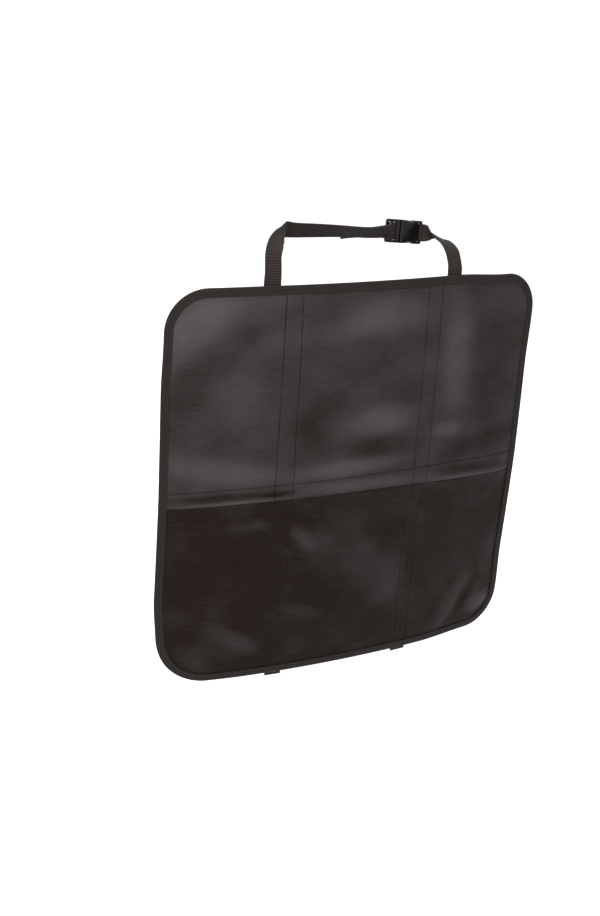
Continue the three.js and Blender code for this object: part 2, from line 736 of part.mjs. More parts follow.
function cavityShape() {
  const open = BUCKLE_WIDTH / 2 + SOCKET_WALL;
  const windowEnd = MOUTH_LENGTH + WINDOW_LENGTH;
  const bottom = PRONG_LENGTH + END_CLEARANCE;
  const bottomHalf = MOUTH_HALF - PRONG_TAPER;
  const shape = new THREE.Shape();
  shape.moveTo(-SOCKET_WALL, -MOUTH_HALF);
  shape.lineTo(MOUTH_LENGTH, -MOUTH_HALF);
  shape.lineTo(MOUTH_LENGTH, -open);
  shape.lineTo(windowEnd, -open);
  shape.lineTo(windowEnd, -MOUTH_HALF);
  shape.lineTo(bottom, -bottomHalf);
  shape.lineTo(bottom, bottomHalf);
  shape.lineTo(windowEnd, MOUTH_HALF);
  shape.lineTo(windowEnd, open);
  shape.lineTo(MOUTH_LENGTH, open);
  shape.lineTo(MOUTH_LENGTH, MOUTH_HALF);
  shape.lineTo(-SOCKET_WALL, MOUTH_HALF);
  return shape;
}

function socket() {
  const half = BUCKLE_WIDTH / 2;
  const rear = roundedOutline(THREE.Shape, SOCKET_BODY - SOCKET_WALL, SOCKET_LENGTH, half, FRAME_CORNER);
  rear.holes.push(roundedOutline(THREE.Path, SOCKET_BODY, SOCKET_BODY + SLOT_LENGTH, SLOT_WIDTH / 2, SLOT_CORNER));
  return solid(plate(socketShape(), BUCKLE_THICK, SOCKET_ROUNDING))
    .subtract(solid(plate(cavityShape(), PRONG_THICK + 2 * RUNNING_CLEARANCE, 0)))
    .add(solid(plate(rear, BAR_THICK)));
}

// Lower loops: webbing folded in two and sewn to the back, its fold standing out below the bound edge

function tab(across) {
  const seat = ON_SHEET + CREASE_DEPTH;
  const bottom = -TOP_EDGE;
  const tapeEdge = bottom + TAPE_REACH;
  const inner = [
    [bottom + TAB_SEWN_LENGTH, seat],
    [tapeEdge + RISE_FROM, seat],
    [tapeEdge + RISE_TO, ON_TAPE],
    [bottom, ON_TAPE],
    [bottom - TAB_BELOW, ON_TAPE],
  ].map(([up, behind]) => place(onMat(across, up, -behind), alongMat(across)));
  const strand = smoothStrand(inner, 2);
  const outer = layerOn(strand.slice().reverse(), 1);
  return webbing([...strand, ...turnAtEnd(strand, -1), ...outer]);
}

// The finished mat

function cloth(color, roughness) {
  return new THREE.MeshStandardMaterial({ color, roughness, metalness: 0 });
}

const coatedCloth = cloth('#3d3938', 0.55);
const tapeCloth = cloth('#37322f', 0.85);
const strapCloth = cloth('#2f2b29', 0.8);
const buckleMoulding = cloth('#141414', 0.3);

function named(name, geometry, material) {
  const mesh = new THREE.Mesh(geometry, material);
  mesh.name = name;
  return mesh;
}

const mat = new THREE.Group();
mat.add(named('panel', sheet(), coatedCloth));
mat.add(named('edge_binding', binding(), tapeCloth));
mat.add(named('left_strap', leftStrap(), strapCloth));
mat.add(named('right_strap', rightStrap(), strapCloth));
mat.add(named('lower_loop_left', tab(LEFT_TAB_ACROSS), strapCloth));
mat.add(named('lower_loop_right', tab(RIGHT_TAB_ACROSS), strapCloth));
buckle.add(named('buckle_plug', geometryOf(plug()), buckleMoulding));
buckle.add(named('buckle_socket', geometryOf(socket()), buckleMoulding));
mat.add(buckle);

export default mat;
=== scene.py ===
# %% [markdown]
# # A kick mat for the back of a car seat
# The mat is one sheet of coated cloth with a bound edge, two webbing straps that meet in a buckle, and two
# short webbing loops below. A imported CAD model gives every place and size. This notebook dresses it: the
# rigid buckle keeps its CAD solids and gets a moulded plastic finish, and each piece of cloth is made again
# as thin, creased cloth that stands where its CAD solid is.

# %% Load the frame
import math

import bmesh
import bpy
from mathutils import Matrix, Vector, noise


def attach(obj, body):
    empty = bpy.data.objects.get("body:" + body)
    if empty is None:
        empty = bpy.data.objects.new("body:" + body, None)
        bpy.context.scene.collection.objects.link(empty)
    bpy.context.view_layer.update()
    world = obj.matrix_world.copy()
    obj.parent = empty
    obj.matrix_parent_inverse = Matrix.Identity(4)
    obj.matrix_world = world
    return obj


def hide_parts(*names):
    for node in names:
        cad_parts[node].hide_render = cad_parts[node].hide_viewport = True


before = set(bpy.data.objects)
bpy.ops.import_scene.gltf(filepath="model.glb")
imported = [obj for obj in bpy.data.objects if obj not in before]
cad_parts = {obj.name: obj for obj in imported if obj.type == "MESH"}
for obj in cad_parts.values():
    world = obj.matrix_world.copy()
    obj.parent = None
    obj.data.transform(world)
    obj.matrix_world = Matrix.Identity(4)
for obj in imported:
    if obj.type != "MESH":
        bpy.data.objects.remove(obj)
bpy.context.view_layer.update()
MM = 0.001

# %% [markdown]
# ## Colours and nodes
# Blender's shaders work in linear light, while a colour given below is an sRGB value. One function turns
# the one into the other, so every colour below can be written as it looks. A second small function adds a
# node with its settings and links, which keeps each material short enough to read as a recipe.

# %% Colour and node helpers


def linear(hex_colour, alpha=1.0):
    """An sRGB hex colour as the linear values that the shaders use."""
    channels = [int(hex_colour[i:i + 2], 16) / 255 for i in (1, 3, 5)]
    return [c / 12.92 if c <= 0.04045 else ((c + 0.055) / 1.055) ** 2.4 for c in channels] + [alpha]


def node(tree, kind, inputs=None, **settings):
    """Adds a node. inputs maps a socket's name or number to a value or to another node's output."""
    made = tree.nodes.new(kind)
    for name, value in settings.items():
        setattr(made, name, value)
    for key, value in (inputs or {}).items():
        socket = made.inputs[key]
        if isinstance(value, bpy.types.NodeSocket):
            tree.links.new(value, socket)
        else:
            socket.default_value = value
    return made


def maths(tree, operation, *values):
    """A Math node's output."""
    return node(tree, "ShaderNodeMath", dict(enumerate(values)), operation=operation).outputs[0]


def blank_material(name, roughness, specular=0.5, sheen=0.0):
    """A material with one Principled shader whose even values are set on its own sockets."""
    material = bpy.data.materials.new(name)
    material.use_nodes = True
    tree = material.node_tree
    shader = tree.nodes["Principled BSDF"]
    shader.inputs["Roughness"].default_value = roughness
    shader.inputs["Specular IOR Level"].default_value = specular
    shader.inputs["Sheen Weight"].default_value = sheen
    return material, tree, shader


def tint(tree, factor, dark, light):
    """A colour between two sRGB hex colours."""
    mix = node(tree, "ShaderNodeMix", {"Factor": factor}, data_type="RGBA")
    mix.inputs["A"].default_value = linear(dark)
    mix.inputs["B"].default_value = linear(light)
    return mix.outputs["Result"]


def wave(tree, distance, period):
    """A sine between -1 and 1 that repeats after the given length in metres."""
    return maths(tree, "SINE", maths(tree, "MULTIPLY", distance, 2 * math.pi / period))


def noise_value(tree, place, scale, detail):
    """A noise texture's value, from about 0 to 1."""
    inputs = {"Vector": place, "Scale": scale, "Detail": detail}
    return node(tree, "ShaderNodeTexNoise", inputs).outputs["Fac"]


def bump(tree, height, depth):
    """A surface normal from a height of about 0 to 1 that stands for the given depth in metres."""
    made = node(tree, "ShaderNodeBump", {"Height": height, "Strength": 1.0, "Distance": depth})
    return made.outputs["Normal"]


print("helpers ready")

# %% [markdown]
# ## Coated oxford cloth
# The sheet is polyester oxford, woven from threads of about half a millimetre and coated so that dirt from
# shoes wipes off it. The coating gives the eye a soft, uneven gloss and hides most of the weave. The pattern
# follows the cloth's own UV map, which keeps real distances, so it bends with the folds. Half-millimetre
# threads are too fine to show in the render, so the weave is drawn at 1.4 mm and very shallow. Yarns are
# spun unevenly, so short, level streaks show through the coat. Two values that the mesh holds steer the
# colour: painted sheen, which paints the upper half and the swellings paler, as if lit more from above, and
# the hollows darker, and painted crease shade, which paints the bottom of each pressed line dark.

# %% Coated oxford cloth
OXFORD_THREAD = 1.4 * MM
CLOUDY_SHARE = 0.35
GRAIN_SHARE = 0.3
SLUB_SHARE = 0.22
SLUB_STRETCH = (0.18, 1.0, 1.0)
# The near-black of the painted shade at the bottom of each pressed line
CREASE_SHADE_COLOUR = "#0c0a09"


def cloth_distances(tree):
    """The two distances along the cloth, in metres, from its own UV map."""
    place = node(tree, "ShaderNodeUVMap", uv_map="cloth").outputs[0]
    apart = node(tree, "ShaderNodeSeparateXYZ", {0: place})
    return place, apart.outputs[0], apart.outputs[1]


def attribute(tree, name):
    """A value that the mesh holds at each of its points."""
    return node(tree, "ShaderNodeAttribute", attribute_name=name).outputs["Fac"]


def coated_oxford(name, dark, light, roughness, specular, weave_depth):
    """Cloth between two colours, with its weave, its slubs, its painted sheen and its painted crease shade.
    """
    material, tree, shader = blank_material(name, roughness, specular)
    place, across, up = cloth_distances(tree)
    weave = maths(tree, "MULTIPLY", wave(tree, across, OXFORD_THREAD), wave(tree, up, OXFORD_THREAD))
    drawn_out = node(tree, "ShaderNodeVectorMath", {0: place, 1: SLUB_STRETCH}, operation="MULTIPLY")
    cloudy = noise_value(tree, place, 16.0, 3.0)
    grain = noise_value(tree, place, 700.0, 2.0)
    slubs = noise_value(tree, drawn_out.outputs[0], 300.0, 2.0)
    height = maths(tree, "ADD", maths(tree, "MULTIPLY", weave, 0.5), grain)
    # The painted sheen that the mesh holds, with random cloudy, grain and slub mottle added to it
    mottle_and_painted_sheen = attribute(tree, "painted_sheen")
    for pattern, share in ((cloudy, CLOUDY_SHARE), (grain, GRAIN_SHARE), (slubs, SLUB_SHARE)):
        mottle_and_painted_sheen = maths(tree, "MULTIPLY_ADD", maths(tree, "SUBTRACT", pattern, 0.5), share, mottle_and_painted_sheen)
    coat = tint(tree, mottle_and_painted_sheen, dark, light)
    # Painted shade darkens the bottom of each pressed line
    crease_shaded = node(tree, "ShaderNodeMix", {"Factor": attribute(tree, "painted_crease_shade")}, data_type="RGBA")
    tree.links.new(coat, crease_shaded.inputs["A"])
    crease_shaded.inputs["B"].default_value = linear(CREASE_SHADE_COLOUR)
    tree.links.new(crease_shaded.outputs["Result"], shader.inputs["Base Color"])
    tree.links.new(bump(tree, height, weave_depth), shader.inputs["Normal"])
    return material


# The light colour shows where the painted sheen is strong, the dark one where it is weak
mat_face = coated_oxford("coated_polyester_oxford", "#160c07", "#514b4d", 0.42, 0.07, 0.07 * MM)
mat_back = coated_oxford("uncoated_oxford_back", "#221d1a", "#332d2a", 0.8, 0.1, 0.12 * MM)
print("made", mat_face.name, mat_back.name)

# %% [markdown]
# ## Woven narrow goods
# The straps are polypropylene webbing and the edge is bound with a woven polyester tape. Both show ribs that
# run across them, one weft row each: 2.9 mm apart on the webbing and 1.25 mm on the tape. A matte surface
# with rib tops painted light, as painted highlight, and valleys painted dark, as painted shade, is what the
# eye reads as webbing. The webbing's ribs lean a little to both sides of its middle line, as a herringbone
# weave's do.

# %% Webbing and tape
WEBBING_RIB = 2.9 * MM
TAPE_RIB = 1.25 * MM
WARP_PITCH = 1.0 * MM


def woven_ribs(name, dark, light, rib, lean, depth, roughness):
    """Webbing or tape, with painted highlight on the tops of its ribs and painted shade between them."""
    material, tree, shader = blank_material(name, roughness, 0.12, 0.04)
    place, along, across = cloth_distances(tree)
    leaning = maths(tree, "MULTIPLY_ADD", maths(tree, "ABSOLUTE", across), lean, along)
    ribs = maths(tree, "MULTIPLY_ADD", wave(tree, leaning, rib), 0.5, 0.5)
    warp = maths(tree, "MULTIPLY_ADD", wave(tree, across, WARP_PITCH), 0.5, 0.5)
    fuzz = noise_value(tree, place, 900.0, 2.0)
    height = maths(tree, "MULTIPLY_ADD", warp, 0.25, ribs)
    height = maths(tree, "ADD", height, maths(tree, "MULTIPLY", fuzz, 0.4))
    # Rib tops painted pale as painted highlight, valleys painted dark as painted shade, with random fuzz
    fuzz_and_painted_rib_shade = maths(tree, "MULTIPLY_ADD", fuzz, 0.5, maths(tree, "MULTIPLY", ribs, 0.6))
    tree.links.new(tint(tree, fuzz_and_painted_rib_shade, dark, light), shader.inputs["Base Color"])
    tree.links.new(bump(tree, height, depth), shader.inputs["Normal"])
    return material


webbing_cloth = woven_ribs("polypropylene_webbing", "#120e0c", "#3b3431", WEBBING_RIB, 0.12, 0.5 * MM, 0.7)
tape_cloth = woven_ribs("woven_polyester_tape", "#14100e", "#2d2725", TAPE_RIB, 0.0, 0.12 * MM, 0.75)
print("made", webbing_cloth.name, tape_cloth.name)

# %% [markdown]
# ## Moulded acetal and sewing thread
# Side-release buckles are injection-moulded from acetal, a hard, waxy plastic. Polished steel moulds leave it
# glossy, with a faint orange peel that softens each highlight. The seams are sewn with a dark polyester
# thread of about 0.5 mm, a shade lighter than the tape that it lies on.

# %% Acetal and thread


def moulded_acetal():
    material, tree, shader = blank_material("moulded_black_acetal", 0.22, 0.28)
    shader.inputs["IOR"].default_value = 1.48
    place = node(tree, "ShaderNodeTexCoord").outputs["Object"]
    peel = noise_value(tree, place, 420.0, 1.0)
    tree.links.new(tint(tree, peel, "#090909", "#111111"), shader.inputs["Base Color"])
    tree.links.new(bump(tree, peel, 0.05 * MM), shader.inputs["Normal"])
    return material


def sewing_thread():
    material, tree, shader = blank_material("bonded_polyester_thread", 0.55, 0.2)
    place = node(tree, "ShaderNodeTexCoord").outputs["Object"]
    twist = noise_value(tree, place, 1500.0, 1.0)
    tree.links.new(tint(tree, twist, "#241d1a", "#413733"), shader.inputs["Base Color"])
    tree.links.new(bump(tree, twist, 0.1 * MM), shader.inputs["Normal"])
    return material


acetal = moulded_acetal()
thread = sewing_thread()
for part in ("buckle_plug", "buckle_socket"):
    buckle_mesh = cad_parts[part].data
    buckle_mesh.materials.clear()
    buckle_mesh.materials.append(acetal)
print("made", acetal.name, thread.name)

# %% [markdown]
# ## The mat's surface
# Every cloth piece is placed on one surface: a sheet that bows round the seat back from side to side, bows a
# little from top to bottom, and bends at half height where the mat was folded for its pack. These are the
# CAD model's own sizes in millimetres, so that the pieces made here lie where the solids are.

# %% The mat's surface
MAT_SIZE = 480
HALF_MAT = MAT_SIZE / 2
EDGE_WALL = 1.0
BOW_ACROSS_RADIUS = 1440
BOW_DOWN_RADIUS = 6200
FOLD_SLOPE = math.tan(math.radians(2.2) / 2)
FOLD_BAND = 10
POSTS_BEHIND_EDGE = 57
RUN_ABOVE_EDGE = 42

# Each corner's radius, and how far its seam draws it across and up
UPPER_LEFT = (49, 2.5, -0.5)
UPPER_RIGHT = (46, 3, -4.5)
LOWER_LEFT = (66, 5, 1)
LOWER_RIGHT = (47, 3.3, 3.8)
PULLED_FROM = 120
PULLED_FULLY = 195

# Each corner as (right, upper), from the upper right one round
CORNERS = ((1, 1), (0, 1), (0, 0), (1, 0))


def smooth_step(value, low, high):
    """0 up to low, 1 from high, and a smooth rise between them."""
    share = max(0.0, min(1.0, (value - low) / (high - low)))
    return share * share * (3 - 2 * share)


def bell(value, middle, width):
    """1 at the middle, dying away to both sides."""
    return math.exp(-((value - middle) / width) ** 2)


def corner_at(right, upper):
    if upper:
        return UPPER_RIGHT if right else UPPER_LEFT
    return LOWER_RIGHT if right else LOWER_LEFT


def pulled(across, up):
    """A place on a true square, moved as the mat's corners are drawn."""
    share = smooth_step(abs(across), PULLED_FROM, PULLED_FULLY)
    share *= smooth_step(abs(up), PULLED_FROM, PULLED_FULLY)
    _, pull_across, pull_up = corner_at(across > 0, up > 0)
    return across + pull_across * share, up + pull_up * share


def bow_down(up):
    """How far the mat stands back from its middle at one height, by its bow and its bend."""
    beyond = abs(up)
    travelled = up ** 2 / (2 * FOLD_BAND) if beyond < FOLD_BAND else beyond - FOLD_BAND / 2
    return up ** 2 / (2 * BOW_DOWN_RADIUS) + FOLD_SLOPE * travelled


MAT_MIDDLE = Vector((0, -POSTS_BEHIND_EDGE - bow_down(HALF_MAT), -RUN_ABOVE_EDGE - HALF_MAT))


def mat_normal(across, up):
    """The direction out of the mat's visible face."""
    angle = across / BOW_ACROSS_RADIUS
    slope = up / BOW_DOWN_RADIUS + FOLD_SLOPE * max(-1, min(1, up / FOLD_BAND))
    return Vector((math.sin(angle), -math.cos(angle), slope)).normalized()


def on_mat(across, up, out):
    """A place on the mat, in millimetres of the frame."""
    across, up = pulled(across, up)
    angle = across / BOW_ACROSS_RADIUS
    back = BOW_ACROSS_RADIUS * (1 - math.cos(angle)) + bow_down(up)
    point = Vector((BOW_ACROSS_RADIUS * math.sin(angle), back, up))
    return point + mat_normal(across, up) * out + MAT_MIDDLE


def across_mat(across):
    angle = across / BOW_ACROSS_RADIUS
    return Vector((math.cos(angle), math.sin(angle), 0))


def corner_radius(right, upper):
    return corner_at(right, upper)[0]


def edge_reach(right, up, inset):
    """How far the mat reaches from its middle line at one height, less an inset from its edge."""
    radius = corner_radius(right, up > 0) - inset
    straight = HALF_MAT - inset - radius
    beyond = max(0, abs(up) - straight)
    return straight + math.sqrt(max(0, radius ** 2 - beyond ** 2))


print("mat's middle, mm", [round(c, 1) for c in MAT_MIDDLE])

# %% [markdown]
# ## From a flat grid to a piece of cloth
# Cloth starts flat, so each cloth piece here starts as a flat grid. One function then moves every point of
# the grid to its place, and keeps the point's distances on the flat cloth as its UV map, in metres. That is
# simpler to steer than a cloth simulation, which would not bring back the creases that the photograph shows.
# A Solidify modifier gives the cloth its thickness afterwards.

# %% Cloth from a grid


def cloth_grid(columns, rows, place, held=()):
    """place(column, row) gives a point in mm, two flat distances in mm, and each value to be held."""
    bm = bmesh.new()
    bmesh.ops.create_grid(bm, x_segments=columns, y_segments=rows, size=0.5)
    flat = bm.loops.layers.uv.new("cloth")
    layers = [bm.verts.layers.float.new(name) for name in held]
    found = {}
    for vert in bm.verts:
        at = round((vert.co.x + 0.5) * columns), round((vert.co.y + 0.5) * rows)
        point, distances, *values = place(*at)
        found[vert] = [d * MM for d in distances]
        for layer, value in zip(layers, values):
            vert[layer] = value
        vert.co = point * MM
    for face in bm.faces:
        for loop in face.loops:
            loop[flat].uv = found[loop.vert]
    return bm


def mesh_from(name, bm):
    """A mesh with what the bmesh holds."""
    mesh = bpy.data.meshes.new(name)
    bm.to_mesh(mesh)
    bm.free()
    return mesh


def in_scene(name, data):
    """A new object at the origin."""
    made = bpy.data.objects.new(name, data)
    bpy.context.scene.collection.objects.link(made)
    return made


def finished_piece(name, bm, slot, *materials):
    """A smooth piece that rides on the part's one body."""
    mesh = mesh_from(name, bm)
    mesh.shade_smooth()
    for material in materials:
        mesh.materials.append(material)
    piece = in_scene(name, mesh)
    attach(piece, "root")
    return piece


def thicken(piece, thickness, offset, back_material=0):
    """Gives cloth its thickness in mm, and its back another material if one is given."""
    solidify = piece.modifiers.new("thickness", "SOLIDIFY")
    solidify.thickness = thickness * MM
    solidify.offset = offset
    solidify.material_offset = back_material
    solidify.material_offset_rim = back_material


print("cloth helpers ready")

# %% [markdown]
# ## Creases and soft dents
# The mat was folded in six for its pack. It keeps that: two pairs of pressed lines that run down it and one
# pair across. A pressed line is a fine groove, darkened by painted shade, with a slight roll beside it that
# catches the light. The lower line of the pair across is the fold's own crest, where the mat still stands
# out a little. Between the lines the cloth isn't flat: it lies in broad, shallow dents and swellings. Each
# one is a soft bump with a place, a height, two radii and a turn, in millimetres and degrees, and a share of
# painted sheen, which paints the swellings paler and, below 0, the hollows darker.

# %% Where the creases and dents are
DOWN_CREASES = [
    ([(240, -100.2), (0, -104.4), (-110, -103), (-240, -101)], 0.7, 0.3),
    ([(240, -80.5), (0, -82), (-110, -82.5), (-240, -81)], 0.7, 0.3),
    ([(240, 81.6), (0, 79.1), (-56, 73.5), (-162, 76.2), (-240, 82.5)], 0.7, 0.5),
    ([(240, 100.3), (0, 98.9), (-56, 90.1), (-162, 94.8), (-240, 98.5)], 0.7, 0.5),
]
ACROSS_CREASES = [
    ([(-240, -9), (0, -9), (60, -10), (150, -13), (240, -16)], 0.9, 0.9),
    ([(-240, 9), (-80, 10), (0, 10), (100, 10), (240, 9)], 0.7, 0.7),
]
GROOVE_HALF_WIDTH = 1.1
ROLL_AWAY = 3.6
ROLL_RADIUS = 3.0
ROLL_SHARE = 0.3
# How wide and how strong the painted shade in a crease's groove is
CREASE_SHADE_HALF_WIDTH = 0.8
CREASE_SHADE_STRENGTH = 1.2
MEAN_PRESS = 0.85
PRESS_WANDER = 0.5
WANDER_LENGTH = 30
PRESSED_LESS_BELOW = 5
PRESSED_LEAST_BELOW = -25
FOLD_SWELL = 2.4
FOLD_SWELL_ABOVE = 24
FOLD_SWELL_BELOW = 16

# across, up, height, radius along, radius beside, turn in degrees, painted sheen (below 0 it is painted
# shade)
SWELLINGS = [
    (-208, 196, 1.5, 62, 30, 42, 0.45),
    (-150, 215, 0.8, 60, 18, 10, 0.15),
    (-123, 172, 0.8, 30, 12, 20, 0.15),
    (-80, 140, 0.3, 90, 14, 70, -0.04),
    (-150, 112, 1.2, 34, 30, 60, 0.12),
    (-170, 32, 1.6, 70, 15, -9, 0.35),
    (25, 200, 1.4, 52, 22, 0, 0.38),
    (-30, 185, 0.6, 60, 14, 8, 0.15),
    (30, 76, 2.0, 48, 17, 3, 0.42),
    (-10, 22, 1.2, 64, 10, 2, 0.42),
    (128, 150, 1.6, 74, 20, 90, 0.38),
    (122, 54, 0.9, 22, 9, -4, 0.35),
    (190, 210, 0.8, 40, 22, 0, 0.1),
    (-135, -38, 0.8, 40, 7, 2, 0.14),
    (-66, -58, 1.2, 24, 9, -45, 0.26),
    (-40, -76, 0.8, 34, 20, -40, 0.14),
    (22, -104, 1.4, 84, 28, -48, 0.2),
    (60, -112, 0.8, 20, 34, 0, 0.1),
    (-52, -160, 0.6, 34, 8, -18, 0.14),
    (-142, -186, 1.2, 38, 11, -30, 0.2),
    (-196, -208, 1.2, 34, 16, -40, 0.14),
    (158, -192, 1.5, 46, 15, 58, 0.18),
    (208, -202, 2.4, 20, 13, 15, 0.4),
    (214, -134, 0.8, 40, 14, 80, 0.12),
    (0, 0, 0.6, 84, 7, -1, 0.3),
    (-160, -6, 0.3, 70, 1.8, 0, 0.35),
    (170, -12, 0.5, 60, 3, -3, 0.35),
]
HOLLOWS = [
    (-208, 130, -1.0, 60, 24, 70, -0.12),
    (-57, 72, -1.2, 34, 28, 60, -0.14),
    (34, 44, -1.0, 50, 13, -3, -0.2),
    (190, 120, -1.4, 84, 32, 90, -0.12),
    (180, 30, -1.4, 62, 14, 8, -0.2),
    (-165, -90, -1.2, 70, 40, 20, -0.06),
    (184, -184, -1.4, 30, 10, 60, -0.1),
    (-96, -1, -1.4, 22, 4, 3, -0.3),
    (-160, 1, -0.5, 64, 5, 0, -0.3),
    (165, -1, -0.5, 60, 6, -4, -0.22),
]
SOFT_BUMPS = SWELLINGS + HOLLOWS
BUMP_HEIGHT = 2
# The column of a bump that holds its share of painted sheen
BUMP_PAINTED_SHEEN = 6
BUMP_FLATNESS = 1.6


def polyline_at(points, position):
    """The value of a line through (position, value) points."""
    ordered = sorted(points)
    for (a, low), (b, high) in zip(ordered, ordered[1:]):
        if position <= b:
            return low + (high - low) * (position - a) / (b - a)
    return ordered[-1][1]


def crease_depth(crease, up):
    """Pairs that run down are pressed less in the lower half."""
    _, upper, lower = crease
    return lower + (upper - lower) * smooth_step(up, PRESSED_LEAST_BELOW, PRESSED_LESS_BELOW)


def soft_bump(across, up, bump_row):
    """A bump's share at a place, from 0 far away to 1 at its middle."""
    at, height_at, _, along, beside, turn, _ = bump_row
    angle = math.radians(turn)
    x, y = across - at, up - height_at
    u = (x * math.cos(angle) + y * math.sin(angle)) / along
    v = (y * math.cos(angle) - x * math.sin(angle)) / beside
    square = u * u + v * v
    return math.exp(-square ** BUMP_FLATNESS) if square < 9 else 0.0


def all_bumps(across, up, column):
    """The sum of the soft bumps' heights or painted sheen at a place."""
    return sum(soft_bump(across, up, bump_row) * bump_row[column] for bump_row in SOFT_BUMPS)


print(len(DOWN_CREASES) + len(ACROSS_CREASES), "crease lines,", len(SOFT_BUMPS), "soft bumps")

# %% [markdown]
# ## The sheet
# The grid's rows and columns follow the crease lines and lie close together beside them, so that each
# groove is crisp. Outside the crease pairs the columns close up towards the round corners. Under the binding
# tape the cloth is held flat. Just inside the tape the seam puckers it: small waves that die out within
# 30 mm.

# %% Stops of the grid
SHEET_THICK = 1.5
SHEET_PITCH = 2.8
TAPE_REACH = 9.5
BESIDE_LINE = (-3.2, -2.0, -1.1, -0.5, 0, 0.5, 1.1, 2.0, 3.2)
SHEET_EDGE = HALF_MAT - EDGE_WALL
STRAIGHT_COLUMNS = 112

# How far from the edge the tape lets the pressed lines show, and the dents
LINES_FROM = TAPE_REACH - 4
LINES_FULLY = TAPE_REACH + 2
DENTS_FROM = TAPE_REACH - 1
DENTS_FULLY = TAPE_REACH + 16

# Each kind of wave has a height, a length across, a length up and a seed
BROAD_WAVES = (0.9, 75, 60, 7)
SMALL_WAVES = (0.25, 22, 16, 11)
# These waves blotch the painted sheen
PAINTED_SHEEN_WAVES = (0.1, 40, 30, 21)
PUCKER_WAVES = (0.5, 7, 40, 5)
PUCKER_REACH = 13
# Painted sheen: the upper half is painted paler than the lower, as if lit more from above
PAINTED_SHEEN_BELOW_FOLD = 0.01
PAINTED_SHEEN_MORE_ABOVE = 0.32
FOLD_HALF_WIDTH = 3


def grid_stops(creases):
    """Places from edge to edge, closer together beside the creases as they lie at the middle."""
    close = sorted(polyline_at(crease[0], 0) + step for crease in creases for step in BESIDE_LINE)
    ends = [-SHEET_EDGE, *close, SHEET_EDGE]
    stops = []
    for low, high in zip(ends, ends[1:]):
        steps = math.ceil((high - low) / SHEET_PITCH)
        stops += [low + (high - low) * i / steps for i in range(steps)]
    return stops + [SHEET_EDGE]


COLUMN_STOPS = grid_stops(DOWN_CREASES)
ROW_STOPS = grid_stops(ACROSS_CREASES)


def follow(creases, stop, position):
    """Moves a stop sideways with the creases that it lies between."""
    lines = sorted((polyline_at(crease[0], 0), polyline_at(crease[0], position)) for crease in creases)
    knots = [(-SHEET_EDGE, -SHEET_EDGE), *lines, (SHEET_EDGE, SHEET_EDGE)]
    return polyline_at(knots, stop)


print(len(COLUMN_STOPS), "columns,", len(ROW_STOPS), "rows")

# %% The sheet


def waves(across, up, kind):
    """Smooth noise of one kind at a place."""
    height, length_across, length_up, seed = kind
    return height * noise.noise(Vector((across / length_across, up / length_up, seed)))


def pressed_lines(creases, stop, position, wander_seed):
    """The creases' relief and their painted shade at a place between the stops."""
    relief = dark = 0.0
    for crease in creases:
        line = polyline_at(crease[0], 0)
        away = abs(stop - line)
        place = Vector((position / WANDER_LENGTH, line, wander_seed))
        depth = crease_depth(crease, position) * (MEAN_PRESS + PRESS_WANDER * noise.noise(place))
        relief -= depth * max(0.0, 1 - away / GROOVE_HALF_WIDTH)
        relief += ROLL_SHARE * depth * bell(away, ROLL_AWAY, ROLL_RADIUS)
        # The painted shade in the groove
        dark = max(dark, depth * bell(away, 0, CREASE_SHADE_HALF_WIDTH))
    return relief, dark


def fold_relief(across, up):
    """The fold's crest, from which the cloth falls away to both sides."""
    above = up - polyline_at(ACROSS_CREASES[0][0], across)
    return FOLD_SWELL * math.exp(-abs(above) / (FOLD_SWELL_ABOVE if above > 0 else FOLD_SWELL_BELOW))


def pucker(across, up, from_edge):
    """The small waves that the seam draws into the sheet beside the tape."""
    along = across if abs(up) > abs(across) else up
    fade = bell(max(0, from_edge - TAPE_REACH), 0, PUCKER_REACH)
    return fade * waves(along, from_edge, PUCKER_WAVES)


def distance_from_edge(across, up):
    """How far a place is from the mat's nearest edge."""
    radius = corner_radius(across > 0, up > 0)
    x, y = abs(across) - (HALF_MAT - radius), abs(up) - (HALF_MAT - radius)
    if x > 0 and y > 0:
        return radius - math.hypot(x, y)
    return radius - max(x, y)


def into_corner(across, up):
    """Columns outside the crease pairs close up where a round corner narrows the sheet."""
    if abs(across) <= STRAIGHT_COLUMNS:
        return across
    share = (abs(across) - STRAIGHT_COLUMNS) / (SHEET_EDGE - STRAIGHT_COLUMNS)
    reach = edge_reach(across > 0, up, EDGE_WALL)
    return math.copysign(STRAIGHT_COLUMNS + share * (reach - STRAIGHT_COLUMNS), across)


def painted_sheen_at(across, up):
    """Painted sheen: the upper half and the swellings painted paler, as if lit more from above, the hollows
    darker.
    """
    crest = polyline_at(ACROSS_CREASES[0][0], across)
    above_fold = smooth_step(up, crest - FOLD_HALF_WIDTH, crest + FOLD_HALF_WIDTH)
    painted_sheen = PAINTED_SHEEN_BELOW_FOLD + PAINTED_SHEEN_MORE_ABOVE * above_fold
    painted_sheen += all_bumps(across, up, BUMP_PAINTED_SHEEN)
    painted_sheen += waves(across, up, PAINTED_SHEEN_WAVES)
    return max(0.0, min(1.0, painted_sheen))


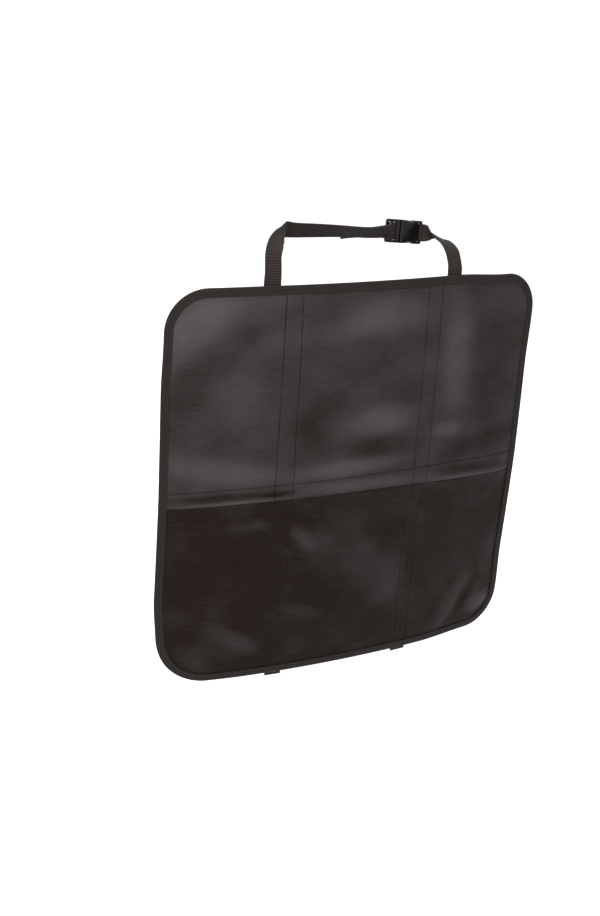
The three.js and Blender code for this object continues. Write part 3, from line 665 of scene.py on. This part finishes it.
def sheet_place(column, row):
    """Where a point of the grid lies, hung and flat, its painted sheen and its painted crease shade."""
    column_stop, row_stop = COLUMN_STOPS[column], ROW_STOPS[row]
    across = into_corner(follow(DOWN_CREASES, column_stop, row_stop), row_stop)
    up = follow(ACROSS_CREASES, row_stop, across)
    from_edge = distance_from_edge(across, up)
    dents_show = smooth_step(from_edge, DENTS_FROM, DENTS_FULLY)
    lines_show = smooth_step(from_edge, LINES_FROM, LINES_FULLY)
    lines_down, crease_shade_down = pressed_lines(DOWN_CREASES, column_stop, up, 0)
    lines_across, crease_shade_across = pressed_lines(ACROSS_CREASES, row_stop, across, 3)
    relief = fold_relief(across, up) + all_bumps(across, up, BUMP_HEIGHT)
    relief += waves(across, up, BROAD_WAVES)
    relief += waves(across, up, SMALL_WAVES)
    lines = lines_down + lines_across + pucker(across, up, from_edge)
    relief = relief * dents_show + lines * lines_show
    # Painted shade in the grooves of the pressed lines
    painted_crease_shade = min(1.0, CREASE_SHADE_STRENGTH * max(crease_shade_down, crease_shade_across)) * lines_show
    return on_mat(across, up, relief), (across, up), painted_sheen_at(across, up), painted_crease_shade


# The mesh holds the painted sheen and the painted crease shade at each point
sheet = cloth_grid(len(COLUMN_STOPS) - 1, len(ROW_STOPS) - 1, sheet_place, ("painted_sheen", "painted_crease_shade"))
mat_sheet = finished_piece("mat_sheet", sheet, "coated_cloth", mat_face, mat_back)
thicken(mat_sheet, SHEET_THICK, 0, back_material=1)
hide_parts("panel")
print("sheet faces", len(mat_sheet.data.polygons))

# %% [markdown]
# ## The binding
# A 20 mm tape is folded over the cloth's edge and sewn down near its own edges. It is made as one grid that
# runs round the mat and round the tape's section, from its back edge over the fold to its front edge. The
# sewing pulls it in along the stitch line and leaves it slightly full between there and the fold. It is
# gathered a little, more in some places than in others.

# %% The binding
TAPE_THICK = 0.7
TAPE_OUT = 1.8
TAPE_FOLD = 2.2
STITCH_DEPTH = 7.6
STITCH_PULL = 0.22
STITCH_PULL_WIDTH = 0.9
FULLNESS = 0.3
FULLEST_DEPTH = 4.5
FULLNESS_WIDTH = 2.2
FULLNESS_WANDER = 0.7
DEPTH_WANDER = 0.035
OUTLINE_STEPS = 560


def outline_parts():
    """The mat's outline from the lower right corner round: straight stretches and quarter turns."""
    quarter = math.pi / 2
    radii = [corner_radius(*corner) for corner in CORNERS]
    parts = []
    for side in range(4):
        turn = side * quarter
        outward = Vector((round(math.cos(turn)), round(math.sin(turn))))
        along = Vector((-outward.y, outward.x))
        start, radius = radii[side - 1] - HALF_MAT, radii[side]
        parts.append(("line", along * start + outward * HALF_MAT, along, outward, HALF_MAT - radius - start))
        centre = along * (HALF_MAT - radius) + outward * (HALF_MAT - radius)
        parts.append(("turn", centre, turn, radius, radius * quarter))
    return parts


OUTLINE = outline_parts()
OUTLINE_LENGTH = sum(part[-1] for part in OUTLINE)


def outline_at(distance):
    """A point of the outline and the direction out of the mat there."""
    distance %= OUTLINE_LENGTH
    for part in OUTLINE:
        if distance <= part[-1]:
            break
        distance -= part[-1]
    if part[0] == "line":
        return part[1] + part[2] * distance, part[3]
    angle = part[2] + distance / part[3]
    outward = Vector((math.cos(angle), math.sin(angle)))
    return part[1] + outward * part[3], outward


HALF_TAPE = TAPE_REACH - TAPE_FOLD + math.pi * TAPE_FOLD * 0.45
HALF_SECTION = [HALF_TAPE * share for share in (0.12, 0.24, 0.36, 0.48, 0.6, 0.72, 0.84, 0.96, 1)]
SECTION_STOPS = [-stop for stop in reversed(HALF_SECTION)] + [0] + HALF_SECTION


def tape_profile(travelled):
    """How far in from the mat's edge and out of the sheet a place on the folded tape lies."""
    side = math.copysign(1, travelled)
    bend = HALF_TAPE - (TAPE_REACH - TAPE_FOLD)
    if abs(travelled) < bend:
        angle = abs(travelled) / bend * math.pi / 2
        return TAPE_FOLD * (1 - math.cos(angle)), side * TAPE_OUT * math.sin(angle)
    return TAPE_FOLD + abs(travelled) - bend, side * TAPE_OUT


def round_noise(turn, size, seed):
    """Noise that closes on itself round the outline."""
    return noise.noise(Vector((math.cos(turn) * size, math.sin(turn) * size, seed)))


def binding_place(column, row):
    """Where a point of the tape's grid lies, sewn and flat."""
    turn = column / OUTLINE_STEPS * 2 * math.pi
    distance = column / OUTLINE_STEPS * OUTLINE_LENGTH
    depth, out = tape_profile(SECTION_STOPS[row])
    edge, outward = outline_at(distance)
    depth *= 1 + DEPTH_WANDER * round_noise(turn, 34, 1)
    full = FULLNESS * bell(depth, FULLEST_DEPTH, FULLNESS_WIDTH)
    full -= STITCH_PULL * bell(depth, STITCH_DEPTH, STITCH_PULL_WIDTH)
    full *= 1 + FULLNESS_WANDER * round_noise(turn, 60, 2)
    out += math.copysign(full, out) if abs(out) > 1 else 0
    place = edge - outward * depth
    return on_mat(place.x, place.y, out), (distance, SECTION_STOPS[row])


binding = cloth_grid(OUTLINE_STEPS, len(SECTION_STOPS) - 1, binding_place)
bmesh.ops.remove_doubles(binding, verts=binding.verts, dist=0.01 * MM)
bound_edge = finished_piece("bound_edge", binding, "binding_tape", tape_cloth)
thicken(bound_edge, TAPE_THICK, -1)
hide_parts("edge_binding")
print("outline, mm", round(OUTLINE_LENGTH))

# %% [markdown]
# ## Strands of webbing
# Webbing bends easily along its length and hardly at all in its own plane, so it turns and twists. A strand
# is a row of places with the direction in which the webbing's width lies. The curve through the places is
# the one that the CAD model uses, and the places are its own, so the ribbon made here lies in its solid.

# %% Strand helpers
WEBBING_STOPS = (9.9, 9.5, 6.6, 3.3, 0, -3.3, -6.6, -9.5, -9.9)
WEBBING_THICK = 1.1
STRAND_PITCH = 1.4
FIT = 0.3


def spline_value(p0, p1, p2, p3, share):
    """One span of a centripetal Catmull-Rom curve."""
    first, middle, last = [max((b - a).length, 1e-8) ** 0.5 for a, b in ((p0, p1), (p1, p2), (p2, p3))]
    leave = (p1 - p0) / first - (p2 - p0) / (first + middle) + (p2 - p1) / middle
    reach = (p2 - p1) / middle - (p3 - p1) / (middle + last) + (p3 - p2) / last
    leave, reach = leave * middle, reach * middle
    square = (p2 - p1) * 3 - leave * 2 - reach
    cube = (p1 - p2) * 2 + leave + reach
    return p1 + leave * share + square * share ** 2 + cube * share ** 3


def spline(points, steps):
    """A smooth row of points through the given ones, with so many steps to a span."""
    ends = [points[0] * 2 - points[1], *points, points[-1] * 2 - points[-2]]
    row = []
    for i in range(len(points) - 1):
        row += [spline_value(*ends[i:i + 4], step / steps) for step in range(steps)]
    return row + [points[-1]]


def smooth_strand(places, steps=9):
    points = spline([Vector(point) for point, _ in places], steps)
    widths = spline([Vector(width) for _, width in places], steps)
    return [(point, width.normalized()) for point, width in zip(points, widths)]


def framed(strand):
    """Adds the direction out of the webbing's face to each place."""
    rows = []
    for i, (point, width) in enumerate(strand):
        before, after = strand[max(0, i - 1)][0], strand[min(len(strand) - 1, i + 1)][0]
        along = (after - before).normalized()
        out = along.cross(width).normalized()
        rows.append((point, out.cross(along), out))
    return rows


def layer_on(strand, side, droop=0.0):
    """A second layer on a strand, let down towards its far end."""
    rows = framed(strand)
    return [
        (point + out * side * STRAND_PITCH + width * droop * (i / (len(rows) - 1)) ** 4, width)
        for i, (point, width, out) in enumerate(rows)
    ]


def turn_at_end(strand, side):
    """Half a turn from the end of one layer to the next."""
    point, width, out = framed(strand)[-1]
    along = width.cross(out)
    row = []
    for degrees in range(-75, 76, 15):
        angle = math.radians(degrees)
        aside = out * side * STRAND_PITCH * (1 + math.sin(angle)) / 2
        ahead = along * STRAND_PITCH / 2 * math.cos(angle)
        row.append((point + (aside + ahead), width))
    return row


def cut_strand(strand, start, end):
    """The places between two distances along a strand."""
    travelled, kept = 0.0, []
    for i, place in enumerate(strand):
        travelled += (place[0] - strand[i - 1][0]).length if i else 0
        if start <= travelled <= end:
            kept.append(place)
    return kept


def ribbon(name, strand, replaced):
    """Webbing along a strand."""
    rows = framed(strand)
    distances = [0.0]
    for (a, _, _), (b, _, _) in zip(rows, rows[1:]):
        distances.append(distances[-1] + (b - a).length)

    def place(column, row):
        point, width, _ = rows[column]
        across = WEBBING_STOPS[row]
        return point + width * across, (distances[column], across)

    bm = cloth_grid(len(rows) - 1, len(WEBBING_STOPS) - 1, place)
    piece = finished_piece(name, bm, "strap_webbing", webbing_cloth)
    thicken(piece, WEBBING_THICK, 0)
    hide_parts(replaced)
    print(name, "is", round(distances[-1]), "mm of webbing")


print("strand helpers ready")

# %% [markdown]
# ## The straps
# Both straps are sewn to the mat's back, rise over the tape, and lie where the photograph shows them. The
# left one is threaded through the plug: up through the inner slot, over the bar, down through the outer slot
# and back under itself, which is how a ladder bar holds webbing. The right one is looped round the socket's
# bar and sewn to itself. Their routes repeat the CAD model's places.

# %% Where the straps run
STRAP_ACROSS = 117
STRAP_SEWN_LENGTH = 30
HALF_SHEET = 0.8
ON_SHEET = HALF_SHEET + FIT + WEBBING_THICK / 2
ON_TAPE = HALF_SHEET + EDGE_WALL + FIT + WEBBING_THICK / 2
HALF_POSTS = 74
HALF_BAR = 1.6
BAR_LENGTH = 3
SLOT_LENGTH = 3.6
PLUG_SHOULDER = 5
PLUG_LENGTH = 2 * BAR_LENGTH + 2 * SLOT_LENGTH + PLUG_SHOULDER
SOCKET_LENGTH = 31
TAIL_LENGTH = 57
HEM_LENGTH = 10
FOLD_BACK_LENGTH = 16
STRANDS_MEET = 6
LEAVING_ANGLE = math.radians(74)
BEHIND_POSTS = 10.5
TAIL_OFFSET = -(HALF_BAR + FIT + WEBBING_THICK / 2)
LOAD_OFFSET = TAIL_OFFSET - STRAND_PITCH

# The CAD model's tail droops by 2.5 mm. Here its end shows below the strap, as in the photograph.
TAIL_DROOP = 5.4

BUCKLE_PLACE = (
    Matrix.Translation((HALF_POSTS + 0.4, 12.6, -4))
    @ Matrix.Rotation(math.radians(5.3), 4, "Y")
    @ Matrix.Rotation(math.radians(-8), 4, "X")
)
DOWN_BUCKLE = BUCKLE_PLACE.to_3x3() @ Vector((0, 0, -1))


def in_buckle(x, y, z=0.0):
    """A place in the buckle's own directions: along it, out of it and down it."""
    return BUCKLE_PLACE @ Vector((x, y, z))


def leaning(degrees):
    """The width of webbing that runs sideways with its upper edge leaning towards the viewer."""
    return (0, math.sin(math.radians(degrees)), -math.cos(math.radians(degrees)))


def sewn_end(across):
    """Where a strap is sewn to the mat's back and rises over the tape."""
    tape_edge = HALF_MAT - TAPE_REACH
    rises = [
        (HALF_MAT - STRAP_SEWN_LENGTH, ON_SHEET), (tape_edge - 6, ON_SHEET), (tape_edge - 1.5, ON_TAPE),
        (HALF_MAT - TAPE_REACH / 4, ON_TAPE), (HALF_MAT + TAPE_REACH / 3, ON_TAPE),
    ]
    return [(on_mat(across, up, -behind), across_mat(across)) for up, behind in rises]


def arc(centre, radius, start, end, steps):
    """Points on an arc between two angles in degrees."""
    angles = [math.radians(start + (end - start) * i / steps) for i in range(steps + 1)]
    return [(centre[0] + radius * math.cos(a), centre[1] + radius * math.sin(a)) for a in angles]


def left_route():
    post = -HALF_POSTS
    return smooth_strand([
        *sewn_end(-STRAP_ACROSS),
        ((post - 42.9, -50, -28), (1, 0, -0.05)),
        ((post - 41.9, -46, -10), (0.99, 0.03, -0.13)),
        ((post - 37.6, -40, -3), (0.96, 0.09, -0.27)),
        ((post - 32, -33, 0.6), (0.88, 0.22, -0.42)),
        ((post - 24.6, -24, 2.7), (0.71, 0.35, -0.61)),
        ((post - 15.2, -13, 3.7), (0.48, 0.45, -0.75)),
        ((post - 8.5, -3, 4.4), (0.2, 0.35, -0.9)),
        ((post + 1, BEHIND_POSTS, 3.4), leaning(20)),
        ((post + 12, BEHIND_POSTS, 2.4), leaning(25)),
        ((post + 32, BEHIND_POSTS, 1.4), leaning(29)),
        ((post + 63, BEHIND_POSTS, -0.4), leaning(37)),
        ((post + 92, BEHIND_POSTS - 0.5, -2.5), leaning(43)),
        ((post + 109, BEHIND_POSTS - 2.5, -3.6), leaning(44)),
        (in_buckle(-PLUG_LENGTH - 6, LOAD_OFFSET - 5, -1.5), leaning(36)),
        (in_buckle(-PLUG_LENGTH, LOAD_OFFSET - 4, -0.5), leaning(16)),
        (in_buckle(-PLUG_LENGTH + 4, LOAD_OFFSET - 1.8, -0.2), leaning(1)),
        (in_buckle(-PLUG_LENGTH / 2, LOAD_OFFSET), DOWN_BUCKLE),
    ])


def ladder():
    """The webbing's way over the plug's bar."""
    inner = -PLUG_SHOULDER - SLOT_LENGTH / 2
    outer = inner - SLOT_LENGTH - BAR_LENGTH
    bend, over = 1.4, -TAIL_OFFSET
    points = [
        *arc((inner - bend, LOAD_OFFSET + bend), bend, -90, 0, 6),
        *arc((inner - bend, over - bend), bend, 0, 90, 6),
        *arc((outer + bend, over - bend), bend, 90, 180, 6),
        *arc((outer - bend, TAIL_OFFSET + bend), bend, 0, -90, 6),
    ]
    return [(in_buckle(x, y), DOWN_BUCKLE) for x, y in points]


def beside_bar(along, behind):
    """A place by the socket's bar, along the strap's way out and behind it."""
    x = SOCKET_LENGTH - BAR_LENGTH / 2 + along * math.cos(LEAVING_ANGLE) + behind * math.sin(LEAVING_ANGLE)
    return in_buckle(x, -along * math.sin(LEAVING_ANGLE) + behind * math.cos(LEAVING_ANGLE))


def right_route():
    post = HALF_POSTS
    return smooth_strand([
        *sewn_end(STRAP_ACROSS),
        ((post + 41.5, -49, -29.7), (0.99, 0.13, -0.04)),
        ((post + 41.1, -42, -17.5), (0.99, 0.14, 0)),
        ((post + 40.5, -34, -11.5), (0.96, 0.26, -0.04)),
        ((post + 39.8, -26, -8.7), (0.88, 0.46, -0.07)),
        ((post + 38, -19, -7.4), (0.75, 0.65, -0.12)),
        ((post + 35.5, -12, -4.8), (0.55, 0.8, -0.21)),
        ((post + 33.5, -6, -3.8), (0.44, 0.74, -0.46)),
        ((post + 32.5, -1, -3.4), (0.35, 0.64, -0.66)),
        (beside_bar(STRANDS_MEET, -STRAND_PITCH / 2), DOWN_BUCKLE),
        (beside_bar(2, -HALF_BAR - 2 * FIT - WEBBING_THICK / 2), DOWN_BUCKLE),
    ])


print("routes ready")

# %% Make the straps
left = left_route()
run = left[::-1]
tail = layer_on(cut_strand(run, PLUG_LENGTH / 2, PLUG_LENGTH / 2 + TAIL_LENGTH), -1, TAIL_DROOP)
hem = layer_on(cut_strand(tail[::-1], 0, HEM_LENGTH), 1)
left_strand = [*left, *ladder(), *tail, *turn_at_end(tail, -1), *hem]
ribbon("left_webbing", left_strand, "left_strap")

right = right_route()
wrap = HALF_BAR + 2 * FIT + WEBBING_THICK / 2
around_bar = [(beside_bar(*at), DOWN_BUCKLE) for at in arc((0, 0), wrap, -90, -270, 14)]
fold_back = layer_on(cut_strand(right[::-1], STRANDS_MEET, FOLD_BACK_LENGTH), 1)
ribbon("right_webbing", [*right, *around_bar, *fold_back], "right_strap")

# %% [markdown]
# ## The lower loops
# Each loop is a short piece of the same webbing, folded in two and sewn to the mat's back, with its fold
# standing out a little below the bound edge.

# %% The lower loops
TAB_SEWN_LENGTH = 22
TAB_BELOW = 5
TAB_SEAT = ON_SHEET + 0.5
LEFT_LOOP_ACROSS = -85
RIGHT_LOOP_ACROSS = 92


def loop_strand(across):
    """A loop's way down behind the tape, round its fold and back up."""
    bottom = -HALF_MAT
    tape_edge = bottom + TAPE_REACH
    rises = [
        (bottom + TAB_SEWN_LENGTH, TAB_SEAT), (tape_edge + 6, TAB_SEAT), (tape_edge + 1.5, ON_TAPE),
        (bottom, ON_TAPE), (bottom - TAB_BELOW, ON_TAPE),
    ]
    strand = smooth_strand([(on_mat(across, up, -behind), across_mat(across)) for up, behind in rises], 4)
    return [*strand, *turn_at_end(strand, -1), *layer_on(strand[::-1], 1)]


ribbon("loop_webbing_left", loop_strand(LEFT_LOOP_ACROSS), "lower_loop_left")
ribbon("loop_webbing_right", loop_strand(RIGHT_LOOP_ACROSS), "lower_loop_right")

# %% [markdown]
# ## Stitching
# The binding is sewn all round with one row of stitches about 3 mm long, which shows on both faces. A box of
# stitches and a row hold each strap, and two rows hold each loop. A stitch is a short, plump thread that dips
# into the cloth at both ends: one small sphere, drawn out to the stitch's length, does that with very few
# faces. All the stitches are copies of it, gathered in one mesh for each kind of seam.

# %% Stitches
STITCH_LENGTH = 2.7
STITCH_PITCH = 3.4
STITCH_RADIUS = 0.32
STITCH_SUNK = 0.05


def one_stitch():
    """A sphere drawn out along X, in mm, from which every stitch is copied."""
    size = Matrix.Diagonal((STITCH_LENGTH / 2, STITCH_RADIUS, STITCH_RADIUS, 1))
    bm = bmesh.new()
    lying = size @ Matrix.Rotation(math.pi / 2, 4, "Y")
    bmesh.ops.create_uvsphere(bm, u_segments=6, v_segments=5, radius=1, matrix=lying)
    return mesh_from("one_stitch", bm)


ONE_STITCH = one_stitch()


def add_stitch(bm, point, along, out):
    """One stitch at a point in mm, along a direction and standing a little out of the cloth."""
    along, out = along.normalized(), out.normalized()
    axes = Matrix((along, out.cross(along), out)).transposed().to_4x4()
    copy = ONE_STITCH.copy()
    copy.transform(Matrix.Scale(MM, 4) @ Matrix.Translation(point) @ axes)
    bm.from_mesh(copy)
    bpy.data.meshes.remove(copy)


def stitch_row(bm, start, end, place):
    """Stitches from one flat place to another; place(x, y) gives the point and the direction out."""
    start, end = Vector(start), Vector(end)
    count = max(1, round((end - start).length / STITCH_PITCH))
    for i in range(count):
        middle, ahead = [start.lerp(end, (i + part) / count) for part in (0.5, 0.6)]
        point, out = place(*middle)
        add_stitch(bm, point, place(*ahead)[0] - point, out)


seams = bmesh.new()
count = round(OUTLINE_LENGTH / STITCH_PITCH)
for face in (1, -1):
    for i in range(count):
        row = []
        for share in (i, i + 0.1):
            edge, outward = outline_at(share / count * OUTLINE_LENGTH)
            at = edge - outward * STITCH_DEPTH
            row.append(on_mat(at.x, at.y, face * (TAPE_OUT - STITCH_SUNK)))
        normal = mat_normal(at.x, at.y) * face
        add_stitch(seams, row[0], row[1] - row[0], normal)
binding_stitches = finished_piece("binding_stitches", seams, "binding_tape", thread)
print("binding stitches", 2 * count)

# %% Stitches on the straps and the loops
BOX_HALF_WIDTH = 7
BOX_BOTTOM = HALF_MAT - STRAP_SEWN_LENGTH + 2
BOX_TOP = HALF_MAT - TAPE_REACH - 3
ROW_ON_TAPE = HALF_MAT - 5
LOOP_ROWS = (-HALF_MAT + 20, -HALF_MAT + 4)


def behind_mat(across_middle, is_loop):
    """Places on the back of a strap at the mat's upper edge, or of a loop at its lower edge."""

    def place(x, up):
        on_tape = abs(up) > HALF_MAT - TAPE_REACH - 1
        beside_tape = TAB_SEAT if is_loop else ON_SHEET
        layers = STRAND_PITCH if is_loop else 0
        behind = (ON_TAPE if on_tape else beside_tape) + layers + WEBBING_THICK / 2
        across = across_middle + x
        return on_mat(across, up, -behind), -mat_normal(across, up)

    return place


def level_row(bm, up, place):
    """One row of stitches from side to side of the webbing."""
    stitch_row(bm, (-BOX_HALF_WIDTH, up), (BOX_HALF_WIDTH, up), place)


def stitch_box(bm, low, high, place):
    """A box of stitches with a cross in it."""
    half = BOX_HALF_WIDTH
    corners = [(-half, low), (half, low), (half, high), (-half, high)]
    for start, end in zip(corners, corners[1:] + corners[:1]):
        stitch_row(bm, start, end, place)
    stitch_row(bm, corners[0], corners[2], place)
    stitch_row(bm, corners[1], corners[3], place)


boxes = bmesh.new()
for middle in (-STRAP_ACROSS, STRAP_ACROSS):
    strap_back = behind_mat(middle, is_loop=False)
    stitch_box(boxes, BOX_BOTTOM, BOX_TOP, strap_back)
    level_row(boxes, ROW_ON_TAPE, strap_back)
for middle in (LEFT_LOOP_ACROSS, RIGHT_LOOP_ACROSS):
    for up in LOOP_ROWS:
        level_row(boxes, up, behind_mat(middle, is_loop=True))
strap_stitches = finished_piece("strap_stitches", boxes, "strap_webbing", thread)
print("strap stitch faces", len(strap_stitches.data.polygons))

# %% Stitches across the tail's hem and the right strap's fold


def rows_across(bm, layer, distances, side):
    """Rows of stitches across a layer of webbing, at distances from its start, on one face."""
    rows = framed(layer)
    for distance in distances:
        travelled, i = 0.0, 0
        while travelled < distance and i < len(rows) - 1:
            i += 1
            travelled += (rows[i][0] - rows[i - 1][0]).length
        point, width, out = rows[i]
        surface = point + out * side * (WEBBING_THICK / 2)
        for step in range(-2, 3):
            add_stitch(bm, surface + width * step * STITCH_PITCH, width, out * side)


hem_rows = bmesh.new()
rows_across(hem_rows, hem, (2, 7), 1)
rows_across(hem_rows, fold_back, (3, 8), 1)
hem_stitches = finished_piece("hem_stitches", hem_rows, "strap_webbing", thread)
print("hem stitch faces", len(hem_stitches.data.polygons))

# %% [markdown]
# ## The cloth
# The sheet was cut as a 478 mm square whose corners are rounded, so its area is less than the square's. It
# hangs from the two straps, and the binding and its stitches go with it. The straps are webbing, which is
# modelled directly.

# %% [markdown]
# ## Floor, light and camera
# A plain pale floor and surround stand for a photographer's sweep. The camera sees them as white,
# while the light that they give the object stays lower, so dark cloth stays dark. A softbox high on the left
# lights the mat from the side, so that its dents and creases show. One fill stands in front and one behind.
# The camera is the photograph's own, found by fitting the mat's four edges.

# %% Floor and surround


def seen_directly(tree):
    """1 for rays from the camera, a mirror or clear plastic, and 0 for light on its way to the object."""
    path = node(tree, "ShaderNodeLightPath")
    either = maths(tree, "MAXIMUM", path.outputs["Is Camera Ray"], path.outputs["Is Glossy Ray"])
    return maths(tree, "MAXIMUM", either, path.outputs["Is Transmission Ray"])


FLOOR_HEIGHT = -0.60
FLOOR_SIZE = 30
FLOOR_GLOW = 0.64
SURROUND_LIGHT = 0.42
floor_shape = bmesh.new()
bmesh.ops.create_grid(floor_shape, x_segments=2, y_segments=2, size=FLOOR_SIZE)
bmesh.ops.translate(floor_shape, verts=floor_shape.verts, vec=(0, 0, FLOOR_HEIGHT))
floor = in_scene("floor", mesh_from("floor", floor_shape))

floor_paint, floor_tree, floor_shader = blank_material("matte_white_sweep", 0.9, 0.1)
floor_shader.inputs["Base Color"].default_value = linear("#f4f4f4")
glow = node(floor_tree, "ShaderNodeEmission", {"Color": linear("#ffffff"), "Strength": FLOOR_GLOW})
off = node(floor_tree, "ShaderNodeEmission", {"Strength": 0.0})
choices = {0: seen_directly(floor_tree), 1: off.outputs[0], 2: glow.outputs[0]}
chosen = node(floor_tree, "ShaderNodeMixShader", choices)
both = node(floor_tree, "ShaderNodeAddShader", {0: floor_shader.outputs[0], 1: chosen.outputs[0]})
floor_tree.links.new(both.outputs[0], floor_tree.nodes["Material Output"].inputs["Surface"])
floor.data.materials.append(floor_paint)

world = bpy.data.worlds.new("pale_surround")
bpy.context.scene.world = world
world.use_nodes = True
sky = world.node_tree
background = sky.nodes["Background"]
background.inputs["Color"].default_value = linear("#ffffff")
strength = maths(sky, "MULTIPLY_ADD", seen_directly(sky), 1 - SURROUND_LIGHT, SURROUND_LIGHT)
sky.links.new(strength, background.inputs["Strength"])
print("floor at", FLOOR_HEIGHT)

# %% Lights


def softbox(name, place, aim, width, height, power):
    """A rectangular lamp, in metres and watts, that looks at a place."""
    light = bpy.data.lights.new(name, "AREA")
    light.shape = "RECTANGLE"
    light.size, light.size_y, light.energy = width, height, power
    lamp = in_scene(name, light)
    lamp.location = place
    lamp.rotation_euler = (Vector(aim) - Vector(place)).to_track_quat("-Z", "Y").to_euler()


softbox("overhead_softbox", (-1.0, -0.75, 1.2), (0, -0.05, -0.2), 0.9, 0.9, 34)
softbox("front_fill", (0.0, -2.0, 0.4), (0, -0.05, -0.3), 1.0, 1.4, 7)
softbox("back_fill", (-0.4, 1.7, 0.6), (0, 0, -0.3), 1.2, 1.2, 16)
print("lights ready")

# %% Camera
VIEW_RIGHT = Vector((0.8890, -0.4527, 0.0688))
VIEW_UP = Vector((0.1095, 0.3561, 0.9280))
VIEW_AIM = Vector((0.4446, 0.8175, -0.3662))
CAMERA_PLACE = (-0.7597, -1.3223, 0.3223)
camera_data = bpy.data.cameras.new("camera")
camera_data.lens = 53.43
camera_data.sensor_width = 36
camera_data.clip_end = 100
camera = in_scene("camera", camera_data)
camera.location = CAMERA_PLACE
camera.rotation_mode = "QUATERNION"
camera.rotation_quaternion = Matrix((VIEW_RIGHT, VIEW_UP, -VIEW_AIM)).transposed().to_quaternion()
bpy.context.scene.camera = camera
bpy.context.scene.view_settings.view_transform = "Standard"
print("camera at", list(camera.location))
